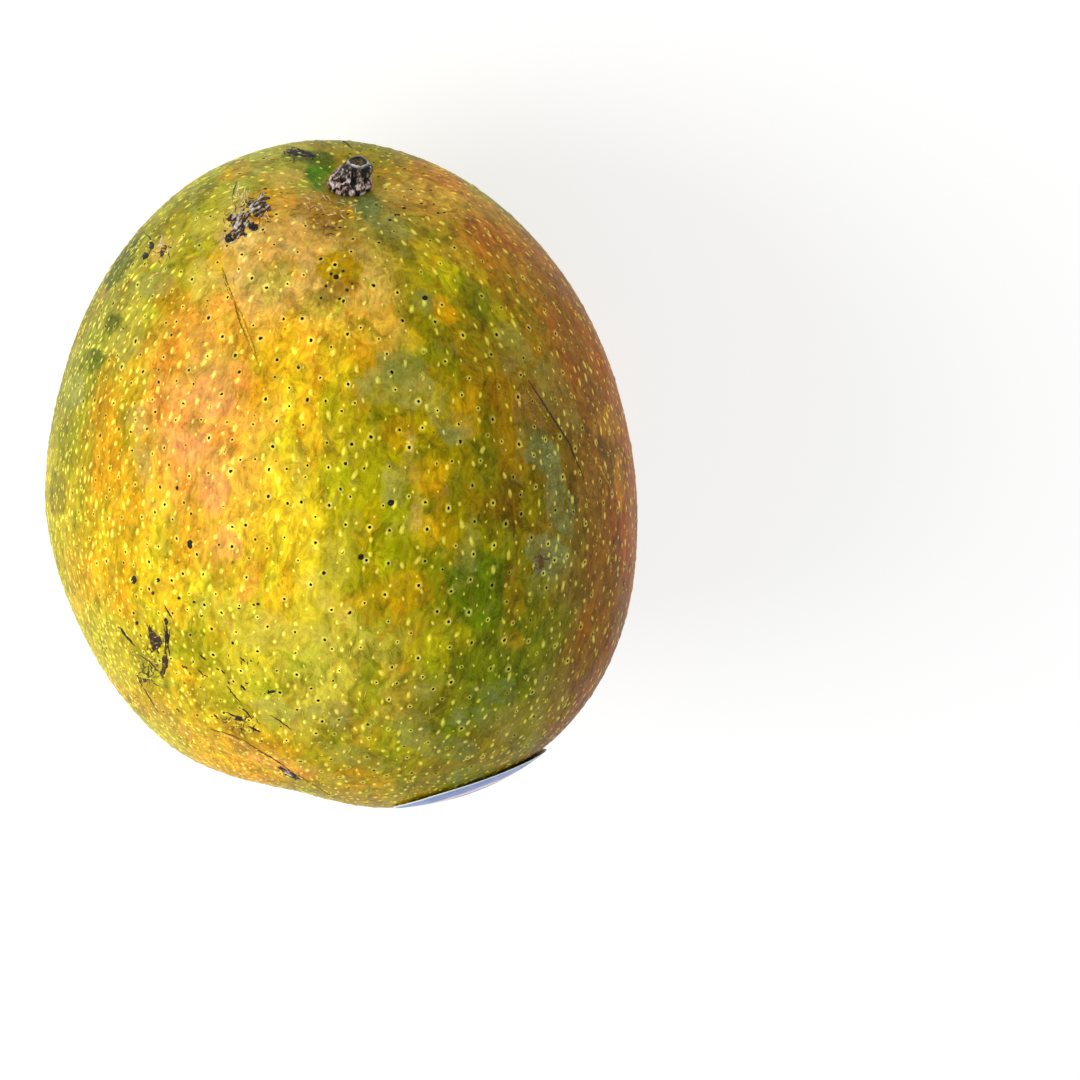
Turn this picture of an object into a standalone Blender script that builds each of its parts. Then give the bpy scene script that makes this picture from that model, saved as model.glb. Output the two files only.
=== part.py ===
# A whole mango with the dry stub of its stem and a plain oval produce label.
# It lies on its back: +Y points to the stem end, +Z up through the belly side, +X to the right cheek.

import math

import bmesh
import bpy
from mathutils import Matrix, Vector

# Driving dimensions, in metres
stem_reach = 0.0665  # from the widest section to the stem end
apex_reach = 0.051  # from the widest section to the apex
right_cheek = 0.052
left_cheek = 0.048
belly_depth = 0.048
back_depth = 0.047
rest_flat_depth = 0.0009  # how much the skin is flattened where the fruit lies
stub_width = 0.0076
stub_height = 0.0046
label_length = 0.029
label_width = 0.020
label_thickness = 0.0006
gap = 0.0003  # kept between pieces that touch

# How full the outline is: 2 is an ellipse, more is squarer, less is leaner
stem_fullness = 2.0
apex_fullness = 2.15
left_apex_slack = 0.42
end_bow = -0.0030  # both ends lean to the left
widest_slant = -0.0046  # the widest line sits lower on the right cheek
back_ridge_forward = 0.0068
back_ridge_right = 0.0018
basin_depth = 0.0048
basin_radius = 0.013

# Local relief: centre on the skin, its half sizes along X, Y and Z, and its height (hollows are negative)
relief = (
    ((-0.0015, -0.0385, 0.0225), (0.0135, 0.0140, 0.0140), -0.0040),  # sinus above the beak
    ((-0.0050, -0.0260, 0.0365), (0.0090, 0.0035, 0.0050), -0.0010),  # crease that runs out of the sinus
    ((-0.0080, -0.0360, 0.0280), (0.0060, 0.0040, 0.0050), 0.0008),  # lobe below the crease
    ((-0.0020, -0.0490, 0.0060), (0.0090, 0.0060, 0.0060), 0.0012),  # beak
    ((-0.0040, 0.0630, -0.0120), (0.0110, 0.0080, 0.0120), 0.0006),  # back shoulder
    ((-0.0050, 0.0620, 0.0160), (0.0045, 0.0090, 0.0090), -0.0009),  # furrow from the stem down the belly
    ((-0.0180, 0.0560, 0.0120), (0.0120, 0.0090, 0.0120), 0.0007),  # left shoulder
    ((0.0210, 0.0560, 0.0000), (0.0120, 0.0100, 0.0140), -0.0007),  # right shoulder
    ((0.0300, -0.0100, 0.0320), (0.0160, 0.0160, 0.0140), 0.0005),
    ((-0.0280, 0.0120, 0.0300), (0.0140, 0.0160, 0.0140), -0.0004),
    ((0.0200, 0.0300, -0.0360), (0.0180, 0.0160, 0.0140), -0.0004),
    ((-0.0340, -0.0160, -0.0220), (0.0160, 0.0160, 0.0160), 0.0005),
)

skin_sides = 72
skin_rings = 44
stub_sides = 20
stub_rings = 16
label_cells = 14

label_towards = Vector((0.60, -0.67, 0.44))  # where the label sits, seen from the middle of the fruit
label_turn = math.radians(-52.0)
stub_lean = Vector((0.60, 0.0, -0.10))  # sideways shift of the stub's top for each unit of height

# Radius of the stub, as a share of half its width, at each share of its height
stub_profile = ((0.00, 0.85), (0.30, 1.00), (0.50, 0.94), (0.64, 0.72), (0.78, 0.62), (0.92, 0.66), (1.00, 0.55))


def clear_scene():
    for old in list(bpy.data.objects):
        bpy.data.objects.remove(old, do_unlink=True)


def new_collection(name, parent):
    collection = bpy.data.collections.new(name)
    parent.children.link(collection)
    return collection


def new_material(name, colour, roughness):
    material = bpy.data.materials.new(name)
    material.use_nodes = True
    shader = material.node_tree.nodes["Principled BSDF"]
    shader.inputs["Base Color"].default_value = (*colour, 1.0)
    shader.inputs["Roughness"].default_value = roughness
    shader.inputs["Metallic"].default_value = 0.0
    return material


def new_object(name, mesh, collection):
    created = bpy.data.objects.new(name, mesh)
    collection.objects.link(created)
    return created


def mesh_from(bm, name):
    mesh = bpy.data.meshes.new(name)
    bm.to_mesh(mesh)
    bm.free()
    mesh.shade_smooth()
    return mesh


def mix(low, high, share):
    return low + (high - low) * share


def bent(value, power):
    return math.copysign(abs(value) ** power, value)


def body_point(direction):
    # The plain egg form, before its relief, for a direction from the middle of the fruit
    along = max(-1.0, min(1.0, direction.y))
    across = math.sqrt(max(0.0, 1.0 - along * along))
    flank = math.hypot(direction.x, direction.z)
    cheek = direction.x / flank if flank > 1e-9 else 1.0
    belly = direction.z / flank if flank > 1e-9 else 0.0
    stem_share = 0.5 + 0.5 * math.tanh(2.5 * along)
    left_share = 0.5 - 0.5 * cheek
    fullness = mix(apex_fullness, stem_fullness, stem_share)
    fullness -= left_apex_slack * left_share * (1.0 - stem_share)
    reach = bent(along, 2.0 / fullness)
    girth = across ** (2.0 / fullness)
    half_width = right_cheek if cheek > 0.0 else left_cheek
    half_depth = belly_depth if belly > 0.0 else back_depth
    middle = 1.0 - reach * reach
    ridge = (girth * belly) ** 2
    x = half_width * girth * cheek + end_bow * reach * reach
    x += back_ridge_right * ridge
    y = (stem_reach if along > 0.0 else apex_reach) * reach
    y += (widest_slant * girth * cheek + back_ridge_forward * ridge) * middle
    return Vector((x, y, half_depth * girth * belly))


def skin_point(direction):
    point = body_point(direction)
    outward = Vector((point.x / right_cheek**2, point.y / stem_reach**2, point.z / belly_depth**2)).normalized()
    height = 0.0
    for centre, size, rise in relief:
        away = [(point[i] - centre[i]) / size[i] for i in range(3)]
        height += rise * math.exp(-sum(a * a for a in away))
    point += height * outward
    if direction.y > 0.0:
        from_stem = math.hypot(point.x - end_bow, point.z) / basin_radius
        point.y -= basin_depth * math.exp(-from_stem * from_stem)
    return point


def sphere_of(sides, rings):
    # A unit sphere with its poles on Y
    bm = bmesh.new()
    bmesh.ops.create_uvsphere(bm, u_segments=sides, v_segments=rings, radius=1.0)
    bmesh.ops.rotate(bm, verts=bm.verts, matrix=Matrix.Rotation(-math.pi / 2, 3, "X"))
    return bm


def fruit_bmesh():
    bm = sphere_of(skin_sides, skin_rings)
    for vert in bm.verts:
        vert.co = skin_point(vert.co.normalized())
    lowest = min(vert.co.z for vert in bm.verts)
    cut = bmesh.ops.bisect_plane(
        bm,
        geom=list(bm.verts) + list(bm.edges) + list(bm.faces),
        plane_co=(0.0, 0.0, lowest + rest_flat_depth),
        plane_no=(0.0, 0.0, -1.0),
        clear_outer=True,
    )
    rim = [item for item in cut["geom_cut"] if isinstance(item, bmesh.types.BMEdge)]
    bmesh.ops.edgeloop_fill(bm, edges=rim)
    bmesh.ops.recalc_face_normals(bm, faces=bm.faces)
    return bm


def make_fruit(collection, material):
    fruit = new_object("fruit", mesh_from(fruit_bmesh(), "fruit"), collection)
    fruit.data.set_sharp_from_angle(angle=math.radians(20.0))
    fruit.data.materials.append(material)
    return fruit


def make_stub_cutter(collection):
    # The fruit grown by the gap, so that the stub's foot follows the basin without touching it
    bm = fruit_bmesh()
    bm.normal_update()
    for vert, normal in [(vert, vert.normal.copy()) for vert in bm.verts]:
        vert.co += gap * normal
    cutter = new_object("stub_foot_cutter", mesh_from(bm, "stub_foot_cutter"), collection)
    cutter.hide_render = True
    cutter.display_type = "WIRE"
    return cutter


def stub_radius(share):
    for (low, first), (high, second) in zip(stub_profile, stub_profile[1:]):
        if share <= high:
            return mix(first, second, (share - low) / (high - low))
    return stub_profile[-1][1]


def make_stub(collection, cutter, material):
    bm = sphere_of(stub_sides, stub_rings)
    foot = skin_point(Vector((0.0, 1.0, 0.0))) - Vector((0.0, 0.0016, 0.0))
    tall = stub_height + 0.0016
    for vert in bm.verts:
        share = 0.5 + 0.5 * vert.co.y
        turn = math.atan2(vert.co.z, vert.co.x)
        ragged = 1.0 + 0.07 * math.sin(3.0 * turn + 0.6) + 0.05 * math.sin(5.0 * turn + 4.0 * share)
        across = math.hypot(vert.co.x, vert.co.z)
        radius = 0.5 * stub_width * stub_radius(share) * ragged * min(1.0, 1.6 * across)
        rise = tall * share
        top_tilt = 0.18 * radius * math.cos(turn - 0.6) if share > 0.6 else 0.0
        lean = stub_lean * max(0.0, rise - 0.003)
        vert.co = foot + lean + Vector((radius * math.cos(turn), rise - top_tilt, radius * math.sin(turn)))
    stub = new_object("stem_stub", mesh_from(bm, "stem_stub"), collection)
    stub.data.materials.append(material)
    foot_cut = stub.modifiers.new("foot_cut", "BOOLEAN")
    foot_cut.operation = "DIFFERENCE"
    foot_cut.solver = "EXACT"
    foot_cut.object = cutter
    return stub


def make_label(collection, fruit, material):
    # A square grid rounded to an oval, laid on the skin and given its thickness outwards
    bm = bmesh.new()
    bmesh.ops.create_grid(bm, x_segments=label_cells, y_segments=label_cells, size=1.0)
    for vert in bm.verts:
        x, y = vert.co.x, vert.co.y
        vert.co.x = 0.5 * label_length * x * math.sqrt(1.0 - 0.5 * y * y)
        vert.co.y = 0.5 * label_width * y * math.sqrt(1.0 - 0.5 * x * x)
    label = new_object("label", mesh_from(bm, "label"), collection)
    label.data.materials.append(material)
    place = skin_point(label_towards.normalized())
    facing = Vector((place.x / right_cheek**2, place.y / apex_reach**2, place.z / belly_depth**2))
    label.location = place + 0.002 * facing.normalized()
    upright = facing.to_track_quat("Z", "Y").to_matrix() @ Matrix.Rotation(label_turn, 3, "Z")
    label.rotation_euler = upright.to_euler()
    wrap = label.modifiers.new("on_skin", "SHRINKWRAP")
    wrap.target = fruit
    wrap.wrap_method = "PROJECT"
    wrap.use_project_z = True
    wrap.use_negative_direction = True
    wrap.use_positive_direction = True
    wrap.offset = gap
    sheet = label.modifiers.new("thickness", "SOLIDIFY")
    sheet.thickness = label_thickness
    sheet.offset = 1.0
    return label


def settle(pieces, helpers):
    # The origin is the middle of the bounding box's floor
    origin = bpy.data.objects.new("mango_origin", None)
    bpy.context.scene.collection.objects.link(origin)
    for piece in pieces + helpers:
        piece.parent = origin
    bpy.context.view_layer.update()
    graph = bpy.context.evaluated_depsgraph_get()
    corners = [p.matrix_world @ v.co for p in pieces for v in p.evaluated_get(graph).data.vertices]
    low = [min(c[i] for c in corners) for i in range(3)]
    high = [max(c[i] for c in corners) for i in range(3)]
    origin.location = (-0.5 * (low[0] + high[0]), -0.5 * (low[1] + high[1]), -low[2])
    bpy.context.view_layer.update()


def main():
    clear_scene()
    scene = bpy.context.scene.collection
    parts = new_collection("mango", scene)
    cutters = new_collection("cutters", scene)
    skin = new_material("skin", (0.42, 0.34, 0.05), 0.42)
    bark = new_material("dry_stem", (0.13, 0.10, 0.08), 0.80)
    paper = new_material("label_film", (0.20, 0.36, 0.66), 0.35)
    fruit = make_fruit(parts, skin)
    cutter = make_stub_cutter(cutters)
    stub = make_stub(parts, cutter, bark)
    label = make_label(parts, fruit, paper)
    settle([fruit, stub, label], [cutter])


main()
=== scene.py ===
import itertools
import math

import bpy
import numpy as np
from mathutils import Matrix, Vector
from mathutils.bvhtree import BVHTree


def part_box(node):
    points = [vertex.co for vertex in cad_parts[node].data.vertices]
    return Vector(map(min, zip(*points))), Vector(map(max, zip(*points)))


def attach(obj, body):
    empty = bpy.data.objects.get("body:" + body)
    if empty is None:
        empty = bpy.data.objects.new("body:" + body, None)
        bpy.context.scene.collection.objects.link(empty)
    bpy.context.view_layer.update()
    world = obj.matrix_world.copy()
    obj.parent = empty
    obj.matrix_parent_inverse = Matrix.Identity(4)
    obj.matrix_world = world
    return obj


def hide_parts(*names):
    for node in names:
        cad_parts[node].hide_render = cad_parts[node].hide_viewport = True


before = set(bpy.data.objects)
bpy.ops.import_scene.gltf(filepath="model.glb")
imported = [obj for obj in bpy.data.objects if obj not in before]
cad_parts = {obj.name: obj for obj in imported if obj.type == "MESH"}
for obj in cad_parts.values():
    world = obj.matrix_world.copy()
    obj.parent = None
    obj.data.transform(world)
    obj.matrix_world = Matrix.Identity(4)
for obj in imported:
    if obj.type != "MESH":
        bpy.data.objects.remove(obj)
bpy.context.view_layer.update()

mm = 0.001


# Small helpers

def deselectAll():
    for obj in bpy.context.selected_objects:
        obj.select_set(False)
    bpy.context.view_layer.objects.active = None


def makeActive(obj):
    deselectAll()
    obj.select_set(True)
    bpy.context.view_layer.objects.active = obj


def nameActive(name):
    obj = bpy.context.active_object
    obj.name = name
    obj.data.name = name
    return obj


def applyModifier(obj, kind, **settings):
    makeActive(obj)
    modifier = obj.modifiers.new(kind.lower(), kind)
    for key, value in settings.items():
        setattr(modifier, key, value)
    bpy.ops.object.modifier_apply(modifier=modifier.name)


def readPoints(obj):
    points = np.empty(len(obj.data.vertices) * 3, np.float32)
    obj.data.vertices.foreach_get("co", points)
    return points.reshape(-1, 3).astype(np.float64)


def writePoints(obj, points):
    obj.data.vertices.foreach_set("co", np.asarray(points, np.float32).ravel())
    obj.data.update()


def readNormals(obj):
    normals = np.empty(len(obj.data.vertices) * 3, np.float32)
    obj.data.vertex_normals.foreach_get("vector", normals)
    return normals.reshape(-1, 3).astype(np.float64)


def writeNumbers(obj, name, values):
    layer = obj.data.attributes.new(name, "FLOAT", "POINT")
    layer.data.foreach_set("value", np.asarray(values, np.float32))


def writeColours(obj, name, colours):
    layer = obj.data.color_attributes.new(name, "FLOAT_COLOR", "POINT")
    full = np.concatenate([colours, np.ones((len(colours), 1))], axis=1)
    layer.data.foreach_set("color", full.astype(np.float32).ravel())


def pieceFrom(name, points, faces):
    mesh = bpy.data.meshes.new(name)
    mesh.from_pydata([tuple(p) for p in points], [], faces)
    mesh.update()
    piece = bpy.data.objects.new(name, mesh)
    bpy.context.scene.collection.objects.link(piece)
    makeActive(piece)
    bpy.ops.object.shade_smooth()
    return piece


def gridPiece(name, columns, rows):
    # A flat net from -1 to 1 both ways, and its points
    deselectAll()
    bpy.ops.mesh.primitive_grid_add(x_subdivisions=columns, y_subdivisions=rows, size=2, location=(0, 0, 0))
    piece = nameActive(name)
    bpy.ops.object.shade_smooth()
    return piece, readPoints(piece)


def dropPoints(piece, dropped):
    # Deletes the marked points with their faces
    mesh = piece.data
    mesh.polygons.foreach_set("select", np.zeros(len(mesh.polygons), bool))
    mesh.edges.foreach_set("select", np.zeros(len(mesh.edges), bool))
    mesh.vertices.foreach_set("select", np.asarray(dropped, bool))
    makeActive(piece)
    bpy.ops.object.mode_set(mode="EDIT")
    bpy.ops.mesh.delete(type="VERT")
    bpy.ops.object.mode_set(mode="OBJECT")


def startEdit(piece):
    makeActive(piece)
    bpy.ops.object.mode_set(mode="EDIT")
    bpy.ops.mesh.select_all(action="SELECT")


def endEdit():
    bpy.ops.object.mode_set(mode="OBJECT")


def copySolid(node, name, weld):
    # A copy of one solid where it stands, with its seams welded
    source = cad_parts[node]
    bpy.ops.mesh.primitive_cube_add(size=0.01, location=(0, 0, 0))
    piece = nameActive(name)
    piece.data = source.data.copy()
    piece.data.transform(source.matrix_world)
    piece.data.materials.clear()
    startEdit(piece)
    bpy.ops.mesh.remove_doubles(threshold=weld)
    endEdit()
    return piece


def joinPieces(name, pieces):
    makeActive(pieces[0])
    for piece in pieces:
        piece.select_set(True)
    bpy.ops.object.join()
    return nameActive(name)


def smoothStep(low, high, values):
    share = np.clip((values - low) / (high - low), 0.0, 1.0)
    return share * share * (3.0 - 2.0 * share)


def softNoise(points, size, seed):
    # Smooth random values from 0 to 1, in lumps of about the given size
    lattice = np.random.default_rng(seed).random((32, 32, 32))
    scaled = points / size + 640.0
    cell = np.floor(scaled).astype(int)
    part = scaled - cell
    part = part * part * (3.0 - 2.0 * part)
    total = np.zeros(len(points))
    for corner in range(8):
        step = np.array([corner & 1, (corner >> 1) & 1, corner >> 2])
        at = (cell + step) % len(lattice)
        total += np.abs(1 - step - part).prod(axis=1) * lattice[at[:, 0], at[:, 1], at[:, 2]]
    return total


def ragged(points, size, seed):
    # Three octaves, for edges that look torn
    return (0.55 * softNoise(points, size, seed) + 0.3 * softNoise(points, size * 0.45, seed + 50)
            + 0.15 * softNoise(points, size * 0.2, seed + 90))


# Camera: it stands over the stem end and looks down at the belly side, as the photograph does

photo = {
    "pixels": 1080,
    "pixelsPerMetre": 5940.0,  # at the middle of the fruit
    "distance": 0.6,
    "fruitMiddle": Vector((-0.0020, -0.0083, 0.0460)),
    "stemTowardsCamera": math.radians(31.74),
    "turnInPicture": math.radians(-8.45),
    "fruitLeftOfCentre": 0.0353,
    "fruitAboveCentre": 0.00303,
    "sensor": 36.0,
}
photo["focalPixels"] = photo["pixelsPerMetre"] * photo["distance"]


def cameraAxes():
    # Rows: right, up and backwards of the picture
    tilt = Matrix.Rotation(photo["stemTowardsCamera"], 3, "X")
    return Matrix.Rotation(photo["turnInPicture"], 3, "Z") @ tilt


def cameraPlace():
    shift = Vector((-photo["fruitLeftOfCentre"], photo["fruitAboveCentre"], -photo["distance"]))
    return photo["fruitMiddle"] - cameraAxes().transposed() @ shift


def makeCamera():
    bpy.ops.object.camera_add(location=cameraPlace())
    camera = bpy.context.active_object
    camera.name = "photoCamera"
    camera.rotation_euler = cameraAxes().transposed().to_euler()
    camera.data.sensor_width = photo["sensor"]
    camera.data.sensor_fit = "HORIZONTAL"
    camera.data.lens = photo["sensor"] * photo["focalPixels"] / photo["pixels"]
    camera.data.clip_start = 0.01
    camera.data.clip_end = 20.0
    bpy.context.scene.camera = camera


def pixelRay(across, down):
    half = photo["pixels"] / 2
    ray = Vector(((across - half) / photo["focalPixels"], -(down - half) / photo["focalPixels"], -1.0))
    return (cameraAxes().transposed() @ ray).normalized()


print("camera")
makeCamera()


# Studio: a white floor that bounces light, an even white room and one soft lamp on the picture's left

studio = {
    "floorSize": 6.0,
    "floorGlow": 0.75,
    "floorWhite": 0.30,
    "roomStrength": 0.55,
    "lampSize": 0.8,
    "lampPower": 10.5,
    "lampPlace": Vector((-0.85, 0.02, 0.80)),
    "lampAim": Vector((0.0, 0.0, 0.04)),
    "roomShare": 0.82,  # what a side of the fruit gets from all round
    "lampShare": 0.82,  # and from the lamp, where it faces it
    "topLoss": 0.32,  # the top gets less from the white floor
}


def addNode(tree, kind, **settings):
    node = tree.nodes.new(kind)
    for key, value in settings.items():
        setattr(node, key, value)
    return node


def feed(tree, socket, value):
    # A socket is joined, and anything else is set on the input itself
    if isinstance(value, bpy.types.NodeSocket):
        tree.links.new(value, socket)
    else:
        socket.default_value = value


def newMaterial(name):
    material = bpy.data.materials.new(name)
    material.use_nodes = True
    return material, material.node_tree


def makeStudio():
    bpy.ops.mesh.primitive_plane_add(size=studio["floorSize"], location=(0, 0, 0))
    floor = nameActive("studioFloor")
    paint, tree = newMaterial("whiteFloor")
    inputs = tree.nodes["Principled BSDF"].inputs
    inputs["Base Color"].default_value = (studio["floorWhite"],) * 3 + (1,)
    inputs["Roughness"].default_value = 0.9
    inputs["Specular IOR Level"].default_value = 0.0
    inputs["Emission Color"].default_value = (1, 1, 1, 1)
    inputs["Emission Strength"].default_value = studio["floorGlow"]
    floor.data.materials.append(paint)

    world = bpy.data.worlds.new("whiteRoom")
    world.use_nodes = True
    sky = world.node_tree.nodes["Background"].inputs
    sky["Color"].default_value = (1, 1, 1, 1)
    sky["Strength"].default_value = studio["roomStrength"]
    bpy.context.scene.world = world

    bpy.ops.object.light_add(type="AREA", location=studio["lampPlace"])
    lamp = bpy.context.active_object
    lamp.name = "softLamp"
    lamp.data.shape = "DISK"
    lamp.data.size = studio["lampSize"]
    lamp.data.energy = studio["lampPower"]
    lamp.rotation_euler = (studio["lampAim"] - studio["lampPlace"]).to_track_quat("-Z", "Y").to_euler()
    bpy.context.scene.view_settings.view_transform = "Standard"


def lightOn(normal):
    # How brightly this studio lights a side of the fruit, about 1 where it faces the camera
    toLamp = (studio["lampPlace"] - studio["lampAim"]).normalized()
    fromLamp = studio["lampShare"] * max(0.0, normal.dot(toLamp))
    return studio["roomShare"] + fromLamp - studio["topLoss"] * normal.z


print("studio")
makeStudio()


# The fruit's skin: an even net of small squares, drawn onto the smoothed solid

skin = {
    "weld": 0.02 * mm,
    "squareUp": math.radians(60),
    "firstCuts": 63,  # halved once more, for 128 squares along each side of the cube
    "startRadius": 0.030,
    "lumpHeight": 0.16 * mm,
    "lumpSize": 8.0 * mm,
    "fineHeight": 0.030 * mm,
    "fineSize": 2.0 * mm,
    "smoothing": 0.5,
    "smoothRounds": 2,
    "restFade": (0.3 * mm, 2.5 * mm),  # nothing is moved near the surface it lies on
}


def smoothedFruit():
    target = copySolid("fruit", "smoothedFruit", skin["weld"])
    startEdit(target)
    bpy.ops.mesh.tris_convert_to_quads(face_threshold=skin["squareUp"], shape_threshold=skin["squareUp"])
    endEdit()
    applyModifier(target, "SUBSURF", levels=3, render_levels=3)
    return target


def makeSkin(target):
    bpy.ops.mesh.primitive_cube_add(size=2 * skin["startRadius"], location=(0, 0, 0))
    piece = nameActive("mangoSkin")
    startEdit(piece)
    bpy.ops.mesh.subdivide(number_cuts=skin["firstCuts"])
    bpy.ops.mesh.subdivide(number_cuts=1)
    endEdit()
    applyModifier(piece, "CAST", cast_type="SPHERE", factor=1.0)
    piece.data.transform(Matrix.Translation(photo["fruitMiddle"]))
    applyModifier(piece, "SHRINKWRAP", target=target, wrap_method="PROJECT",
                  use_positive_direction=True, use_negative_direction=False)
    startEdit(piece)
    bpy.ops.mesh.vertices_smooth(factor=skin["smoothing"], repeat=skin["smoothRounds"])
    endEdit()
    bpy.ops.object.shade_smooth()
    points = readPoints(piece)
    lumps = skin["lumpHeight"] * (softNoise(points, skin["lumpSize"], 11) - 0.5)
    fine = skin["fineHeight"] * (softNoise(points, skin["fineSize"], 12) - 0.5)
    fade = smoothStep(*skin["restFade"], points[:, 2])
    points += readNormals(piece) * ((lumps + fine) * fade)[:, None]
    points[:, 2] = np.maximum(points[:, 2], 0.0)
    writePoints(piece, points)
    return piece


def treeOf(piece):
    points = [vertex.co.copy() for vertex in piece.data.vertices]
    return BVHTree.FromPolygons(points, [tuple(face.vertices) for face in piece.data.polygons])


print("skin net")
smoothFruit = smoothedFruit()
skinPiece = makeSkin(smoothFruit)
skinTree = treeOf(skinPiece)
bpy.data.objects.remove(smoothFruit)


def skinAt(across, down):
    # The place on the skin under a pixel of the photograph, and its normal
    # Past the outline it is the nearest place
    start = cameraPlace()
    ray = pixelRay(across, down)
    place, normal, index, far = skinTree.ray_cast(start, ray)
    if place is None:
        place, normal, index, far = skinTree.find_nearest(start + ray * photo["distance"])
    return place, normal


# Paints, in sRGB from 0 to 255

paints = {
    "leafGreen": (88, 104, 2), "vividGreen": (66, 116, 2), "deepGreen": (58, 82, 2),
    "olive": (124, 118, 3), "darkOlive": (104, 94, 2), "oliveGrey": (122, 120, 44),
    "sage": (176, 168, 62), "sageYellow": (212, 192, 36), "lime": (168, 162, 2),
    "yellowGreen": (172, 150, 2), "amber": (204, 152, 2), "gold": (234, 178, 16),
    "brightYellow": (255, 214, 34), "hairPale": (238, 216, 150), "orange": (251, 174, 56),
    "salmon": (255, 172, 90), "beige": (222, 180, 84), "tan": (188, 142, 52), "brown": (140, 104, 24),
    "goldBrown": (138, 102, 2), "orangeBrown": (172, 108, 26), "brick": (142, 84, 28),
    "rust": (122, 76, 16), "deepRust": (118, 68, 16), "umber": (98, 72, 8), "goldOlive": (176, 138, 2),
    "rosyBlushAndReflection": (172, 92, 44), "smoke": (78, 74, 46), "bruise": (100, 112, 68), "slate": (114, 122, 72),
    "mint": (172, 178, 98), "waxSage": (158, 152, 76), "waxGrey": (124, 112, 52),
    "waxBeige": (212, 174, 84), "waxRose": (132, 92, 42), "waxStraw": (218, 198, 76),
    "straw": (210, 196, 64), "paleBeige": (222, 183, 102), "almostBlack": (22, 18, 15),
    "scabBrown": (70, 46, 30), "scabGrey": (130, 118, 106), "scabWhite": (214, 204, 192),
    "stubPink": (196, 166, 160), "stubWhite": (240, 230, 226), "stubDark": (44, 30, 26),
}


def linearPaint(name):
    values = np.array(paints[name]) / 255
    return np.where(values <= 0.04045, values / 12.92, ((values + 0.055) / 1.055) ** 2.4)


paintMatch = {"gain": 1.06, "most": 0.95}


def balancedPaint(name, normal):
    # The paints are given as they look in the picture, so each is divided by the light that falls there
    return np.clip(paintMatch["gain"] * linearPaint(name) / lightOn(normal), 0.0, paintMatch["most"])


# Broad washes laid first, by paint: pixel, reach in millimetres
seenWashes = {
    "sage": [(262, 160, 9), (125, 290, 9), (80, 340, 9), (388, 672, 7), (388, 715, 6)],
    "lime": [(215, 176, 8), (160, 238, 9), (66, 410, 9), (345, 470, 8), (375, 545, 8)],
    "sageYellow": [(165, 300, 8), (58, 500, 8), (105, 400, 8), (190, 632, 9), (110, 625, 8), (150, 700, 8),
        (305, 610, 8), (258, 645, 8), (240, 700, 8)],
    "gold": [(112, 460, 8), (282, 350, 8), (110, 545, 9), (240, 755, 8), (330, 340, 7)],
    "orange": [(205, 330, 9), (205, 495, 8), (250, 420, 7)],
    "salmon": [(212, 415, 9)],
    "brightYellow": [(290, 430, 8), (270, 500, 8), (288, 560, 8), (150, 565, 9)],
    "paleBeige": [(300, 245, 8), (262, 272, 7)],
    "beige": [(340, 282, 6), (300, 290, 6)],
    "tan": [(300, 212, 6), (425, 185, 9)],
    # The brown wash below the stem is partly skin colour and partly painted shade in the hollow there
    "brown": [(340, 222, 6)],
    # The oliveGrey wash here is painted shade in the valley that runs down right of the stem
    "oliveGrey": [(378, 215, 7)],
    "orangeBrown": [(470, 225, 9)],
    "goldBrown": [(510, 290, 8), (520, 380, 8)],
    "olive": [(470, 300, 8), (390, 385, 8), (420, 700, 9), (480, 730, 8), (445, 560, 8)],
    "yellowGreen": [(420, 250, 7), (440, 415, 7), (425, 525, 7), (350, 725, 8), (330, 790, 8),
        (410, 630, 8)],
    # The brick, rust, deepRust, umber and darkOlive washes on the right side are partly blush and partly
    # painted shade, which keeps that side darker
    "brick": [(560, 300, 9)],
    "rust": [(592, 410, 9), (588, 650, 7)],
    "deepRust": [(622, 520, 8), (605, 640, 9)],
    "darkOlive": [(490, 430, 8), (540, 560, 8), (560, 655, 8), (520, 480, 8), (484, 372, 6)],
    "umber": [(545, 440, 8), (575, 505, 8), (586, 610, 7), (580, 560, 7)],
    "leafGreen": [(485, 600, 8), (500, 690, 8), (440, 668, 7)],
    "straw": [(332, 652, 7), (335, 705, 7), (286, 702, 6)],
}

# The sides that the photograph doesn't show: direction from the middle, reach, paint
hiddenWashes = [
    ((-1.0, -0.3, -0.2), 16, "sageYellow"), ((-0.9, 0.4, -0.4), 16, "olive"),
    ((-0.5, -0.6, -0.7), 16, "gold"), ((0.0, -0.9, -0.4), 16, "yellowGreen"),
    ((0.6, -0.6, -0.6), 16, "orangeBrown"), ((1.0, -0.2, -0.3), 16, "rust"),
    ((0.9, 0.4, -0.4), 16, "brick"), ((0.3, 0.8, -0.6), 16, "olive"), ((-0.4, 0.8, -0.5), 16, "lime"),
    ((0.0, 0.1, -1.0), 18, "gold"), ((-0.5, 0.1, -0.9), 16, "brightYellow"),
    ((0.6, 0.1, -0.9), 16, "orange"), ((0.0, -1.0, 0.0), 12, "olive"), ((0.0, 1.0, -0.1), 12, "olive"),
]

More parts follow.
